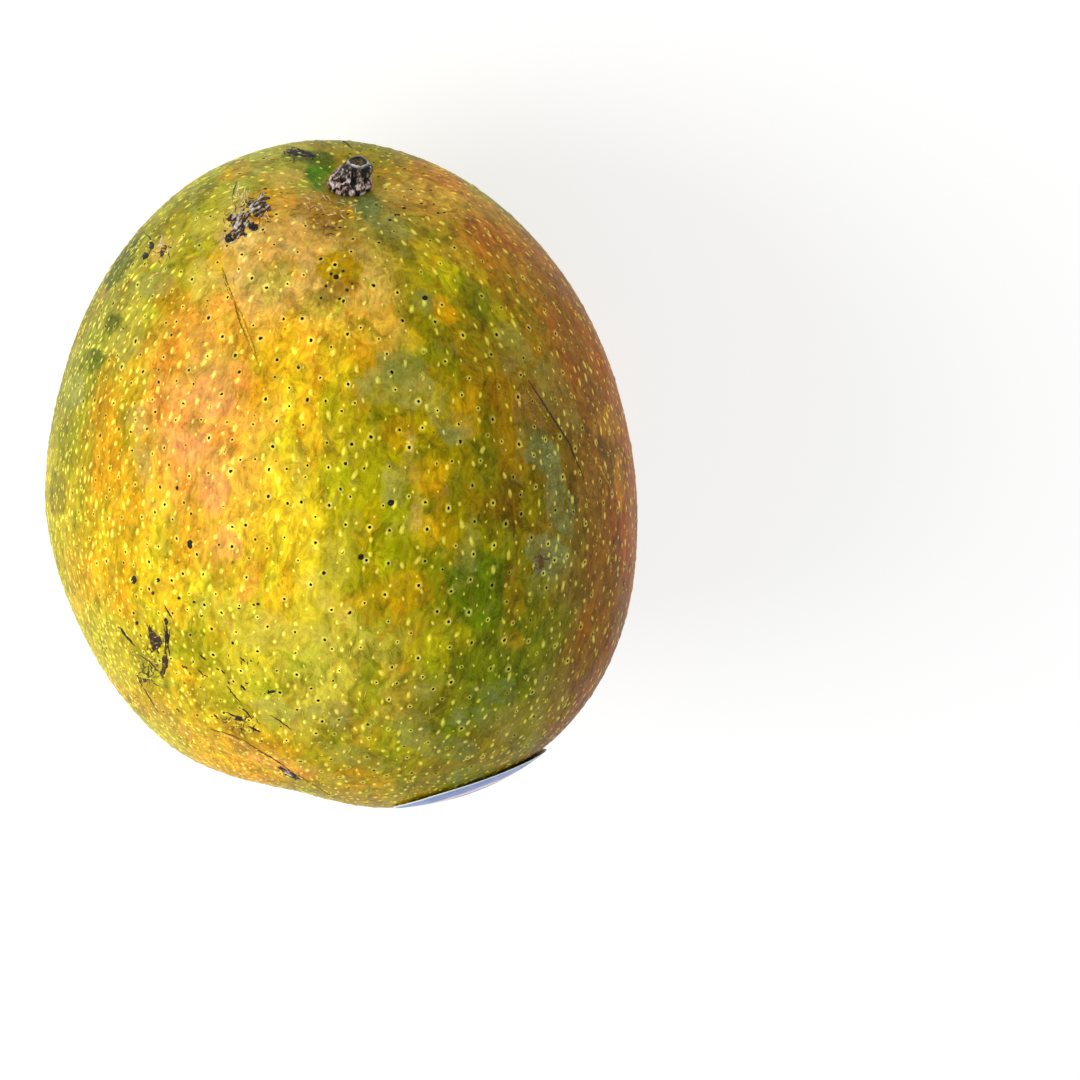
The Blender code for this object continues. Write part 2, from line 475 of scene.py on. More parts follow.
# Colour patches with torn edges, by paint: pixel, half width, half height, turn, share
colourPatches = {
    "amber": [(232, 172, 26, 8, -22, 0.8), (349, 206, 5, 11, 0, 0.7), (268, 205, 7, 20, 15, 0.7),
        (288, 208, 5, 16, 18, 0.6), (168, 292, 16, 18, 35, 0.8), (232, 256, 9, 10, 0, 0.7),
        (103, 408, 9, 20, 10, 0.8), (396, 430, 18, 18, 0, 0.5), (432, 476, 20, 26, 10, 0.6),
        (405, 590, 26, 20, 0, 0.4), (466, 410, 14, 24, -10, 0.5), (150, 700, 20, 12, 40, 0.6),
        (402, 668, 14, 12, 0, 0.5), (360, 778, 30, 8, 8, 0.4), (448, 318, 10, 22, -25, 0.8)],
    "olive": [(205, 190, 26, 9, -38, 0.7), (178, 268, 20, 8, -20, 0.6), (140, 225, 10, 26, 48, 0.6),
        (92, 300, 8, 22, 25, 0.5), (56, 490, 8, 20, 0, 0.7), (330, 738, 12, 10, 0, 0.7),
        (430, 236, 20, 6, 20, 0.9), (455, 372, 8, 22, -15, 0.6), (530, 505, 14, 20, 0, 0.7),
        (500, 540, 22, 16, 0, 0.7), (560, 620, 14, 20, 20, 0.3), (540, 655, 20, 18, 10, 0.5)],
    "lime": [(175, 214, 18, 10, -50, 0.5), (338, 307, 12, 7, 0, 0.95), (196, 246, 18, 12, 0, 0.8),
        (185, 275, 12, 16, 30, 0.7), (200, 232, 16, 8, -30, 0.5), (66, 452, 10, 22, 5, 0.6),
        (84, 470, 12, 30, 0, 0.5), (272, 410, 9, 8, 0, 0.5), (330, 400, 14, 30, 0, 0.75),
        (356, 510, 14, 30, 0, 0.6), (380, 500, 12, 26, 0, 0.8), (446, 440, 8, 16, 0, 0.7),
        (350, 570, 24, 20, 0, 0.6), (200, 650, 26, 22, 20, 0.7), (225, 700, 14, 8, 0, 0.7),
        (270, 690, 22, 12, 0, 0.7), (462, 640, 14, 16, 0, 0.6), (428, 655, 30, 22, 0, 0.7),
        (372, 690, 18, 22, 0, 0.7), (395, 745, 30, 12, 10, 0.7), (450, 275, 12, 24, -35, 0.8),
        (500, 322, 12, 26, -30, 0.5)],
    # The second deepGreen patch is painted shade in the valley that runs down right of the stem
    "deepGreen": [(318, 158, 17, 9, 10, 0.85), (366, 204, 11, 26, -30, 0.75)],
    "vividGreen": [(319, 178, 15, 15, 20, 0.95), (310, 676, 16, 12, 0, 0.25), (484, 602, 20, 30, 0, 0.40)],
    "smoke": [(298, 154, 19, 6, 10, 0.8)],
    # The first two brown patches, below the stem, are partly skin colour and partly painted shade in the
    # hollow there
    "brown": [(310, 208, 18, 12, 0, 0.5), (330, 222, 26, 14, 20, 0.8), (236, 728, 20, 7, 22, 0.5)],
    "goldOlive": [(339, 270, 24, 22, 0, 1.0)],
    "umber": [(334, 289, 21, 13, -5, 0.55), (510, 500, 18, 30, 0, 0.6)],
    # The darkOlive patch is painted shade in the same valley right of the stem
    "darkOlive": [(390, 234, 12, 32, -38, 0.75)],
    "orange": [(440, 168, 16, 10, 20, 0.4), (114, 520, 6, 16, -5, 0.85), (196, 330, 22, 16, 20, 0.6),
        (165, 370, 20, 22, 0, 0.4), (252, 582, 12, 18, 15, 0.8), (226, 436, 16, 22, 0, 0.5),
        (250, 470, 14, 26, 0, 0.5), (246, 330, 8, 12, 0, 0.6), (312, 352, 10, 20, 8, 0.4),
        (385, 330, 14, 26, 30, 0.6), (270, 762, 44, 7, 20, 0.85), (452, 205, 22, 12, 40, 0.45)],
    "leafGreen": [(120, 262, 10, 34, 32, 0.9), (112, 322, 14, 14, 0, 0.8), (94, 362, 10, 18, 10, 0.85),
        (384, 420, 14, 8, 0, 0.6), (455, 500, 10, 36, 0, 0.55), (480, 590, 26, 42, 0, 0.85),
        (470, 668, 20, 14, 0, 0.4), (440, 712, 34, 18, 10, 0.5), (478, 300, 14, 34, -32, 0.6)],
    "gold": [(222, 262, 13, 9, 0, 0.9), (112, 440, 12, 26, 5, 0.8), (130, 500, 14, 20, 0, 0.6),
        (262, 380, 14, 40, 8, 0.7), (286, 330, 10, 22, 15, 0.7), (412, 342, 14, 10, 20, 0.6),
        (425, 530, 14, 18, 0, 0.7), (128, 530, 26, 20, 0, 0.6), (112, 590, 14, 26, -20, 0.6),
        (178, 668, 16, 8, 35, 0.6), (470, 268, 8, 20, -35, 0.5)],
    "sageYellow": [(80, 530, 12, 26, 0, 0.5), (96, 640, 10, 28, -25, 0.5)],
    "salmon": [(214, 396, 22, 26, 0, 0.9), (236, 378, 14, 16, 0, 0.7), (192, 442, 22, 16, 0, 0.8),
        (214, 492, 18, 18, 0, 0.8), (232, 548, 14, 18, 0, 0.6)],
    "brightYellow": [(296, 400, 16, 60, 8, 0.7), (290, 520, 26, 40, 0, 0.7), (338, 356, 16, 34, 6, 0.4),
        (165, 585, 34, 26, 20, 0.75)],
    "yellowGreen": [(352, 440, 16, 26, 0, 0.4), (205, 700, 20, 10, 30, 0.6)],
    "orangeBrown": [(246, 750, 24, 7, 20, 0.6), (430, 170, 26, 14, 25, 0.6), (612, 425, 8, 26, -12, 0.7),
        (622, 480, 5, 30, -5, 0.8)],
    "goldBrown": [(515, 600, 12, 26, 0, 0.4), (512, 640, 16, 14, 0, 0.5), (466, 352, 12, 26, -20, 0.6),
        (500, 392, 16, 22, 0, 0.7), (508, 450, 16, 34, -5, 0.7)],
    "brick": [(478, 226, 26, 12, 45, 0.6)],
    # The rosy band along the right edge is partly blush and partly painted reflection of red light from that
    # side
    "rosyBlushAndReflection": [(548, 236, 12, 40, -42, 0.4), (584, 305, 10, 50, -28, 0.4), (614, 380, 7, 50, -18, 0.4),
        (632, 470, 5, 50, -3, 0.4), (632, 560, 6, 60, 4, 0.4)],
    # The rust patches along the right edge are partly blush and partly painted shade
    "rust": [(600, 560, 12, 40, 4, 0.7), (596, 622, 12, 30, 20, 0.6)],
}

# Veils of wax with torn edges over all colours, by tint: pixel, half width, half height, turn, share
waxPatches = {
    # The mint veils along the top and left edges are partly wax bloom and partly painted sheen
    "mint": [(262, 156, 66, 9, -16, 0.55), (196, 186, 40, 5, -40, 0.6), (128, 236, 44, 5, -55, 0.6),
        (60, 350, 10, 56, 16, 0.75), (72, 392, 12, 24, 8, 0.7)],
    "waxBeige": [(285, 178, 20, 10, 0, 0.6), (310, 238, 30, 12, 10, 0.4), (268, 246, 22, 18, 20, 0.4),
        (404, 190, 20, 16, 30, 0.4), (164, 248, 20, 14, -35, 0.8), (142, 418, 18, 22, 5, 0.75),
        (146, 474, 9, 34, -8, 0.7), (205, 350, 26, 30, 15, 0.35), (176, 395, 12, 20, 0, 0.5),
        (165, 720, 26, 7, 36, 0.6), (290, 762, 44, 6, 20, 0.4), (410, 455, 10, 22, 10, 0.7),
        (416, 500, 5, 22, 0, 0.6)],
    "waxSage": [(345, 148, 26, 6, 8, 0.6), (392, 226, 34, 12, 40, 0.65), (150, 286, 24, 16, -20, 0.75),
        (128, 340, 18, 30, 12, 0.6), (80, 330, 8, 40, 22, 0.5), (280, 715, 26, 16, 20, 0.6),
        (335, 712, 20, 14, 0, 0.6), (350, 755, 34, 9, 12, 0.6), (380, 386, 26, 22, 10, 0.75),
        (420, 396, 26, 20, 24, 0.75), (402, 482, 12, 20, 0, 0.7), (470, 545, 5, 24, 10, 0.35),
        (404, 340, 16, 12, 30, 0.3), (420, 690, 18, 12, 0, 0.5), (404, 720, 20, 10, 0, 0.4)],
    # The first two slate veils are painted shade in the valley that runs down right of the stem
    "slate": [(356, 204, 26, 9, 12, 0.8), (384, 226, 30, 10, 48, 0.75), (456, 428, 16, 14, 30, 0.7),
        (400, 370, 26, 18, 0, 0.45), (545, 455, 16, 30, -24, 0.8), (562, 508, 14, 40, -10, 0.7),
        (552, 470, 12, 30, -18, 0.6), (552, 560, 22, 30, 8, 0.75), (470, 716, 20, 12, 0, 0.65),
        (440, 746, 34, 12, 8, 0.55), (465, 780, 20, 7, -15, 0.6)],
    "paleBeige": [(308, 262, 12, 20, 0, 0.6), (250, 285, 26, 40, -15, 0.45),
        (288, 232, 26, 18, -10, 0.45)],
    "waxStraw": [(274, 290, 16, 34, 10, 0.45), (206, 222, 26, 10, -15, 0.65), (202, 276, 14, 16, 10, 0.7),
        (58, 540, 6, 40, -6, 0.35), (300, 480, 9, 40, -4, 0.35), (345, 545, 12, 34, 10, 0.35),
        (256, 628, 44, 22, 12, 0.65), (306, 640, 34, 18, 20, 0.6), (350, 622, 44, 7, 42, 0.7),
        (208, 604, 16, 12, 10, 0.5)],
    "bruise": [(424, 299, 15, 12, 0, 0.85), (497, 692, 26, 16, 12, 0.5)],
    "waxRose": [(452, 258, 22, 8, 20, 0.55), (530, 400, 14, 34, -18, 0.75), (585, 340, 10, 50, -26, 0.5),
        (594, 490, 14, 44, -8, 0.75), (588, 640, 16, 36, 16, 0.25), (610, 600, 6, 60, 6, 0.3)],
    "waxGrey": [(515, 352, 16, 30, -20, 0.7), (560, 400, 18, 50, -18, 0.6), (572, 590, 14, 40, 5, 0.3),
        (520, 722, 40, 18, -20, 0.75), (555, 690, 18, 24, -30, 0.6)],
    "oliveGrey": [(545, 585, 18, 20, 0, 0.6)],
}

# Patches of the same kinds are laid on the hidden sides: how many, and their paints
hiddenPatches = {
    "count": 150,
    "colours": ["amber", "lime", "olive", "gold", "orange", "yellowGreen", "leafGreen", "brightYellow"],
    "blush": ["rust", "brick", "orangeBrown", "goldBrown", "deepRust"],
    "waxes": ["waxSage", "waxStraw", "waxBeige", "mint", "slate"],
    "blushWaxes": ["waxRose", "waxGrey", "slate"],
    "turnedAway": -0.05,
    "blushFrom": 14 * mm,
    "blushBlur": 10 * mm,
    "half": (1.6, 5.5),
    "longer": (1.0, 2.2),
    "share": (0.4, 0.8),
}

# How the edges of washes and patches are torn: sizes in millimetres and seeds of three noises
tearing = {
    "noises": ((9, 21), (4, 22), (2, 23)),
    "weights": (3.6, 3.0, 1.6),
    "sharp": 2.2,
    "deepest": 3.0,
    "thick": 0.6,  # a patch reaches this share of its size into the fruit, and at least this deep
    "leastThick": 1.2 * mm,
    "past": (1.3, 5 * mm),  # points this far off, as a share of its size and a length, aren't tried
    "warp": 6 * mm,
}


def pixelPatch(paint, across, down, halfWide, halfHigh, turn, share):
    centre, normal = skinAt(across, down)
    cosine, sine = math.cos(math.radians(turn)), math.sin(math.radians(turn))
    wide = skinAt(across + halfWide * cosine, down + halfWide * sine)[0] - centre
    high = skinAt(across - halfHigh * sine, down + halfHigh * cosine)[0] - centre
    return makePatch(centre, normal, wide, high, paint, share)


def makePatch(centre, normal, wide, high, paint, share):
    reach = max(wide.length, high.length)
    thick = normal * max(tearing["thick"] * reach, tearing["leastThick"])
    return {"centre": np.array(centre), "inverse": np.linalg.inv(np.array([wide, high, thick]).T),
            "reach": reach, "least": min(wide.length, high.length),
            "paint": balancedPaint(paint, normal), "share": share}


def unseenPatches(kinds, blushKinds, seed):
    hidden = hiddenPatches
    draw = np.random.default_rng(seed)
    made = []
    while len(made) < hidden["count"]:
        direction = Vector(draw.normal(size=3)).normalized()
        place, normal, index, far = skinTree.ray_cast(photo["fruitMiddle"], direction)
        if normal.dot((cameraPlace() - place).normalized()) > hidden["turnedAway"]:
            continue
        grain = Vector((0, -1, 0))
        grain = (grain - normal * grain.dot(normal)).normalized()
        half = draw.uniform(*hidden["half"]) * mm
        blushed = place.x + hidden["blushBlur"] * draw.normal() > hidden["blushFrom"]
        high = grain * half * draw.uniform(*hidden["longer"])
        paint = str(draw.choice(hidden[blushKinds] if blushed else hidden[kinds]))
        share = draw.uniform(*hidden["share"])
        made.append(makePatch(place, normal, normal.cross(grain) * half, high, paint, share))
    return made


def allPatches(table, kinds, blushKinds, seed):
    seen = [pixelPatch(paint, *patch) for paint, patches in table.items() for patch in patches]
    return seen + unseenPatches(kinds, blushKinds, seed)


def layPatches(points, masks, patches):
    # For every point: paint and share of the patches near it, and how many millimetres inside one it lies
    deepest, (share, margin) = tearing["deepest"], tearing["past"]
    depth = np.full(len(points), -deepest)
    total = np.full(len(points), 1e-9)
    colours = np.zeros((len(points), 3))
    shares = np.zeros(len(points))
    torn = sum(weight * mask for weight, mask in zip(tearing["weights"], masks))
    for patch in patches:
        offsets = points - patch["centre"]
        near = np.abs(offsets).max(axis=1) < share * patch["reach"] + margin
        radius = np.sqrt(((offsets[near] @ patch["inverse"].T) ** 2).sum(axis=1))
        inside = np.clip((1.0 - radius) * patch["least"] / mm + torn[near], -deepest, deepest)
        weight = np.exp(tearing["sharp"] * inside)
        depth[near] = np.maximum(depth[near], inside)
        total[near] += weight
        colours[near] += weight[:, None] * patch["paint"]
        shares[near] += weight * patch["share"]
    return colours / total[:, None], shares / total, depth


def layWashes(points, masks):
    middle = photo["fruitMiddle"]
    washes = [(*skinAt(across, down), reach, paint)
              for paint, spots in seenWashes.items() for across, down, reach in spots]
    washes += [(*skinTree.ray_cast(middle, Vector(direction).normalized())[:2], reach, paint)
               for direction, reach, paint in hiddenWashes]
    warped = points + tearing["warp"] * np.stack(masks, axis=1)
    total = np.full(len(points), 1e-9)
    colours = np.zeros((len(points), 3))
    for place, normal, reach, paint in washes:
        weight = np.exp(-((warped - np.array(place)) ** 2).sum(axis=1) / (reach * mm) ** 2)
        total += weight
        colours += weight[:, None] * balancedPaint(paint, normal)
    return colours / total[:, None]


def paintPiece(piece):
    # Writes the washes, the colour patches and the wax as attributes of the piece
    points = readPoints(piece)
    masks = [ragged(points, size * mm, seed) - 0.5 for size, seed in tearing["noises"]]
    writeColours(piece, "paint", layWashes(points, masks))
    for prefix, patches in (("patch", allColourPatches), ("wax", allWaxPatches)):
        colours, shares, depth = layPatches(points, masks, patches)
        writeColours(piece, prefix + "Paint", colours)
        writeNumbers(piece, prefix + "Share", shares)
        writeNumbers(piece, prefix + "Depth", depth)


allColourPatches = allPatches(colourPatches, "colours", "blush", 41)
allWaxPatches = allPatches(waxPatches, "waxes", "blushWaxes", 42)

print("painting the skin")
paintPiece(skinPiece)


# The skin's finish, one group for the skin itself and for all that stands on it

class Nodes:
    # Writes node chains in one line each, inside one tree
    def __init__(self, tree):
        self.tree = tree

    def give(self, node, values):
        for socket, value in values.items():
            feed(self.tree, node.inputs[socket], value)
        return node.outputs

    def math(self, operation, first, second=0.0):
        return self.give(addNode(self.tree, "ShaderNodeMath", operation=operation), {0: first, 1: second})[0]

    def times(self, first, second):
        return self.math("MULTIPLY", first, second)

    def plus(self, first, second):
        return self.math("ADD", first, second)

    def minus(self, first, second):
        return self.math("SUBTRACT", first, second)

    def vector(self, operation, first, second=(0, 0, 0)):
        node = addNode(self.tree, "ShaderNodeVectorMath", operation=operation)
        return self.give(node, {0: first, 1: second})[0]

    def scaled(self, first, scale):
        node = addNode(self.tree, "ShaderNodeVectorMath", operation="SCALE")
        return self.give(node, {0: first, "Scale": scale})[0]

    def noise(self, where, scale, detail=3.0, roughness=0.5, output="Fac", distortion=0.0):
        values = {"Vector": where, "Scale": scale, "Detail": detail, "Roughness": roughness,
                  "Distortion": distortion}
        return self.give(addNode(self.tree, "ShaderNodeTexNoise"), values)[output]

    def lines(self, where, scale, distortion, width):
        # Thin curling lines, where a noise passes through its middle
        curling = self.noise(where, scale, 3.0, 0.6, "Fac", distortion)
        away = self.math("ABSOLUTE", self.minus(curling, 0.5))
        return self.step(away, width, 0.15 * width)

    def dots(self, where, scale, radius, least):
        # Round dots in some of the cells of a cell pattern
        node = addNode(self.tree, "ShaderNodeTexVoronoi", feature="F1")
        cells = self.give(node, {"Vector": where, "Scale": scale})
        drawn = self.give(addNode(self.tree, "ShaderNodeSeparateColor"), {0: cells["Color"]})[0]
        dot = self.step(cells["Distance"], radius, 0.5 * radius)
        return self.times(dot, self.step(drawn, least, least + 0.02))

    def step(self, value, low, high, lowResult=0.0, highResult=1.0, kind="SMOOTHSTEP"):
        node = addNode(self.tree, "ShaderNodeMapRange", interpolation_type=kind)
        return self.give(node, dict(enumerate((value, low, high, lowResult, highResult))))[0]

    def mix(self, share, first, second, blend="MIX"):
        node = addNode(self.tree, "ShaderNodeMix", data_type="RGBA", blend_type=blend)
        feed(self.tree, node.inputs["Factor"], share)
        feed(self.tree, node.inputs["A"], first)
        feed(self.tree, node.inputs["B"], second)
        return node.outputs["Result"]

    def tinted(self, colour, tint):
        return self.mix(1.0, colour, tint, "MULTIPLY")


# Noises are scale, detail, roughness; steps are from, to, result at from, result at to
finish = {
    "swirlNoise": (85.0, 3.0, 0.6, "Color"),
    "swirl": 0.0045,
    "roundTo": 0.045,
    "fibreStretch": 0.26,
    "drawnOut": (1, 0.5, 1),
    "fibre": (1500.0, 3.0, 0.6),
    "curls": (420.0, 2.4, 0.030),  # scale, distortion, width
    "cracks": (300.0, 1.6, 0.014),
    "fineEdge": (520.0, 6.0, 0.68),
    "slowEdge": (230.0, 5.0, 0.62),
    "edgeShares": (2.6, 4.4),  # how far the two noises tear an edge, in millimetres
    "patchEdge": (-0.70, 0.80),
    "calmer": (0.0, 1.0, 1.0, 0.65, "LINEAR"),
    "blotches": (520.0, 5.0, 0.70, "Fac", 1.1),
    "blotchTone": (0.33, 0.67, 0.54, 1.42, "LINEAR"),
    "fibreTone": (0.30, 0.70, 0.85, 1.15, "LINEAR"),
    "crackBreaks": (210.0, 2.0),
    "breakEdge": (0.50, 0.56),
    "crackShare": 0.55,
    "crackTint": (0.45, 0.38, 0.30, 1),
    "waxEdge": (-0.60, 0.80),
    "waxNoise": (480.0, 6.0, 0.70, "Fac", 1.4),
    "waxTone": (0.33, 0.67, 0.55, 1.40, "LINEAR"),
    "waxFibre": (0.25, 0.65, 0.78, 1.0),
    "waxCurls": 0.45,
    "waxRim": 0.12,
    "rimEdges": ((-0.10, 0.0), (0.25, 0.10)),
    "waxShare": 0.90,
    "clouds": (300.0, 6.0, 0.72),
    "cloudTone": (0.38, 0.58, 0.22, 1.0),
    "cloudPlace": (0.31, 0.05, 0.62),
    "wisps": (420.0, 6.0, 0.7),
    "wispEdge": (0.56, 0.64),
    "wispPlace": (0.07, 0.23, 0.11),
    "wispShare": 0.20,
    "curlShare": 0.14,
    "wispTint": (0.60, 0.49, 0.08, 1),
    "specks": (400.0, 0.085, 0.62),  # scale, radius, the share of cells that stays empty
    "speckShare": 0.65,
    "speckTint": (0.05, 0.035, 0.012, 1),
    "grains": (560.0, 0.13, 0.60),
    "grainShare": 0.28,
    "poreGain": (2.8, 2.8, 3.6, 1),
    "poreOwn": 0.66,
    "poreShare": 0.92,
    "poreTint": (1.0, 0.90, 0.13, 1),
    "pitTint": (0.010, 0.009, 0.007, 1),
    "rough": (0.42, 0.16, 0.10),  # bare skin, more on wax, less on pores
    "high": (0.6, 0.6, 0.35),  # fibres, grains, wax
    "bumps": 0.05 * mm,
    "shine": 0.04,
}

# Flames of colour over all washes: scale, where the noise is read, its edges, share, tint
flames = [
    (120.0, (0.11, 0.32, 0.21), (0.520, 0.540), 0.60, (1.16, 0.84, 0.40, 1)),
    (130.0, (0.52, 0.13, 0.74), (0.530, 0.550), 0.60, (0.66, 0.88, 0.40, 1)),
    (210.0, (0.93, 0.44, 0.35), (0.535, 0.570), 0.60, (0.60, 0.54, 0.35, 1)),
    (240.0, (0.24, 0.81, 0.63), (0.550, 0.590), 0.55, (1.26, 1.28, 0.90, 1)),
]

skinColours = ["paint", "patchPaint", "waxPaint"]
skinNumbers = ["patchShare", "patchDepth", "waxShare", "waxDepth"]
poreNumbers = ["pore", "pit"]


def makeSkinGroup():
    group = bpy.data.node_groups.new("mangoSkinFinish", "ShaderNodeTree")
    for names, way, kind in ((skinColours, "INPUT", "Color"), (skinNumbers + poreNumbers, "INPUT", "Float"),
                             (["colour"], "OUTPUT", "Color"), (["roughness", "height"], "OUTPUT", "Float")):
        for name in names:
            group.interface.new_socket(name=name, in_out=way, socket_type="NodeSocket" + kind)
    n = Nodes(group)
    f = finish
    given = addNode(group, "NodeGroupInput").outputs
    result = addNode(group, "NodeGroupOutput").inputs
    place = addNode(group, "ShaderNodeTexCoord").outputs["Object"]

    # Grain runs from the stem to the tip: across it the pattern is fine, along it is drawn out
    fromMiddle = n.vector("SUBTRACT", place, tuple(photo["fruitMiddle"]))
    swirl = n.vector("SUBTRACT", n.noise(place, *f["swirlNoise"]), (0.5, 0.5, 0.5))
    swirled = n.vector("ADD", fromMiddle, n.scaled(swirl, f["swirl"]))
    around = n.scaled(n.vector("NORMALIZE", n.vector("MULTIPLY", swirled, (1, 0, 1))), f["roundTo"])
    grain = n.vector("ADD", around, n.vector("MULTIPLY", swirled, (0, f["fibreStretch"], 0)))
    drawn = n.vector("MULTIPLY", swirled, f["drawnOut"])
    fibre = n.noise(grain, *f["fibre"])
    curls = n.lines(place, *f["curls"])
    cracks = n.lines(drawn, *f["cracks"])
    fineEdge = n.times(n.minus(n.noise(place, *f["fineEdge"]), 0.5), f["edgeShares"][0])
    edge = n.plus(fineEdge, n.times(n.minus(n.noise(drawn, *f["slowEdge"]), 0.5), f["edgeShares"][1]))

    # Painted patches over the washes, then flames over both
    patch = n.times(n.step(n.plus(given["patchDepth"], edge), *f["patchEdge"]), given["patchShare"])
    colour = n.mix(patch, given["paint"], given["patchPaint"])
    calmer = n.step(patch, *f["calmer"])
    for scale, offset, (low, high), share, tint in flames:
        flame = n.step(n.noise(n.vector("ADD", drawn, offset), scale, 7.0, 0.64), low, high)
        colour = n.mix(n.times(n.times(flame, calmer), share), colour, n.tinted(colour, tint))
    # Small blotches, fine fibres, short dark lines
    blotch = n.step(n.noise(drawn, *f["blotches"]), *f["blotchTone"])
    colour = n.tinted(colour, n.times(blotch, n.step(fibre, *f["fibreTone"])))
    broken = n.step(n.noise(place, *f["crackBreaks"]), *f["breakEdge"])
    dark = n.times(n.times(cracks, broken), f["crackShare"])
    colour = n.mix(dark, colour, n.tinted(colour, f["crackTint"]))
    # Wax, thin at its torn edges, with curled hairs and a faint pale rim
    depth = n.minus(given["waxDepth"], edge)
    wax = n.step(depth, *f["waxEdge"])
    waxTone = n.plus(n.step(n.noise(place, *f["waxNoise"]), *f["waxTone"]), n.times(curls, f["waxCurls"]))
    rim = n.times(*(n.step(depth, *edge) for edge in f["rimEdges"]))
    waxTone = n.plus(waxTone, n.times(rim, f["waxRim"]))
    waxShare = n.times(n.times(wax, given["waxShare"]), n.step(fibre, *f["waxFibre"]))
    cloudy = n.step(n.noise(n.vector("ADD", drawn, f["cloudPlace"]), *f["clouds"]), *f["cloudTone"])
    waxColour = n.tinted(given["waxPaint"], waxTone)
    colour = n.mix(n.times(n.times(waxShare, cloudy), f["waxShare"]), colour, waxColour)
    # Loose wisps and curled hairs of wax everywhere
    wisp = n.step(n.noise(n.vector("ADD", drawn, f["wispPlace"]), *f["wisps"]), *f["wispEdge"])
    wisp = n.plus(n.times(wisp, f["wispShare"]), n.times(curls, f["curlShare"]))
    colour = n.mix(wisp, colour, f["wispTint"])
    # Dark specks and tiny pale grains between the pores
    colour = n.mix(n.times(n.dots(place, *f["specks"]), f["speckShare"]), colour, f["speckTint"])
    grains = n.dots(n.vector("MULTIPLY", fromMiddle, f["drawnOut"]), *f["grains"])
    colour = n.mix(n.times(grains, f["grainShare"]), colour, f["poreTint"])
    # Pores that stand on the skin take on some of the colour round them
    poreColour = n.mix(f["poreOwn"], n.tinted(colour, f["poreGain"]), f["poreTint"])
    colour = n.mix(n.times(given["pore"], f["poreShare"]), colour, poreColour)
    colour = n.mix(given["pit"], colour, f["pitTint"])

    bare, onWax, onPore = f["rough"]
    rough = n.minus(n.plus(bare, n.times(wax, onWax)), n.times(given["pore"], onPore))
    fibreHigh, grainHigh, waxHigh = f["high"]
    height = n.plus(n.plus(n.times(fibre, fibreHigh), n.times(grains, grainHigh)), n.times(wax, waxHigh))
    feed(group, result["colour"], colour)
    feed(group, result["roughness"], rough)
    feed(group, result["height"], height)
    return group


def attribute(tree, name, output):
    return addNode(tree, "ShaderNodeAttribute", attribute_name=name).outputs[output]


def joinSurface(tree, colour, rough, height, distance):
    # Joins colour, roughness and bumps to the tree's own shader, and returns its inputs
    bump = addNode(tree, "ShaderNodeBump")
    bump.inputs["Strength"].default_value = 1.0
    bump.inputs["Distance"].default_value = distance
    feed(tree, bump.inputs["Height"], height)
    inputs = tree.nodes["Principled BSDF"].inputs
    feed(tree, inputs["Base Color"], colour)
    feed(tree, inputs["Roughness"], rough)
    feed(tree, inputs["Normal"], bump.outputs["Normal"])
    return inputs


def skinMaterial(name, numbers):
    material, tree = newMaterial(name)
    group = addNode(tree, "ShaderNodeGroup", node_tree=skinGroup)
    for socket in skinColours:
        feed(tree, group.inputs[socket], attribute(tree, socket, "Color"))
    for socket in numbers:
        feed(tree, group.inputs[socket], attribute(tree, socket, "Fac"))
    made = group.outputs
    inputs = joinSurface(tree, made["colour"], made["roughness"], made["height"], finish["bumps"])
    inputs["Specular IOR Level"].default_value = finish["shine"]
    return material


print("skin finish")
skinGroup = makeSkinGroup()
skinPaint = skinMaterial("mangoSkinPaint", skinNumbers)
porePaint = skinMaterial("mangoPorePaint", skinNumbers + poreNumbers)
skinPiece.data.materials.append(skinPaint)
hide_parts("fruit")
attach(skinPiece, "root")


# Pores: low domes along the skin, plain glints and ringed ones with a dark pit

pores = {
    "plainSpacing": 1.76 * mm,
    "plainTries": 30000,
    "plainCrown": 1.75,  # spaced this much wider on the crown
    "plainWide": (0.08 * mm, 0.22 * mm),
    "plainLong": (1.2, 2.3),
    "plainHigh": 0.05 * mm,
    "pittedSpacing": 3.7 * mm,
    "pittedTries": 12000,
    "pittedCrown": 1.0,
    "pittedWide": (0.36 * mm, 0.62 * mm),
    "pittedHigh": 0.07 * mm,
    "blushWider": 1.45,  # and this much wider on the blushed side
    "blushFrom": (-5 * mm, 30 * mm),
    "stemFade": (10 * mm, 26 * mm),
    "restClear": 1.2 * mm,
    "stubClear": 5.5 * mm,
    "gapSpread": (0.45, 1.35),
    "shake": 0.3,
    "cell": 2.5 * mm,
    "lean": 14.0,  # degrees off the grain
    "lumps": 0.16,
    "mostlySmall": 1.7,
}


def ringDisc(name, sides, rings):
    # A disc of rings, each given as (radius, height) from the outermost inwards
    radius = rings[0][0]
    bpy.ops.mesh.primitive_circle_add(vertices=sides, radius=radius, fill_type="NGON", location=(0, 0, 0))
    disc = nameActive(name)
    startEdit(disc)
    for (outer, low), (inner, high) in zip(rings, rings[1:]):
        bpy.ops.mesh.inset(thickness=(outer - inner) * math.cos(math.pi / sides), depth=0)
        bpy.ops.transform.translate(value=(0, 0, high - low))
    bpy.ops.mesh.poke()
    endEdit()
    return disc


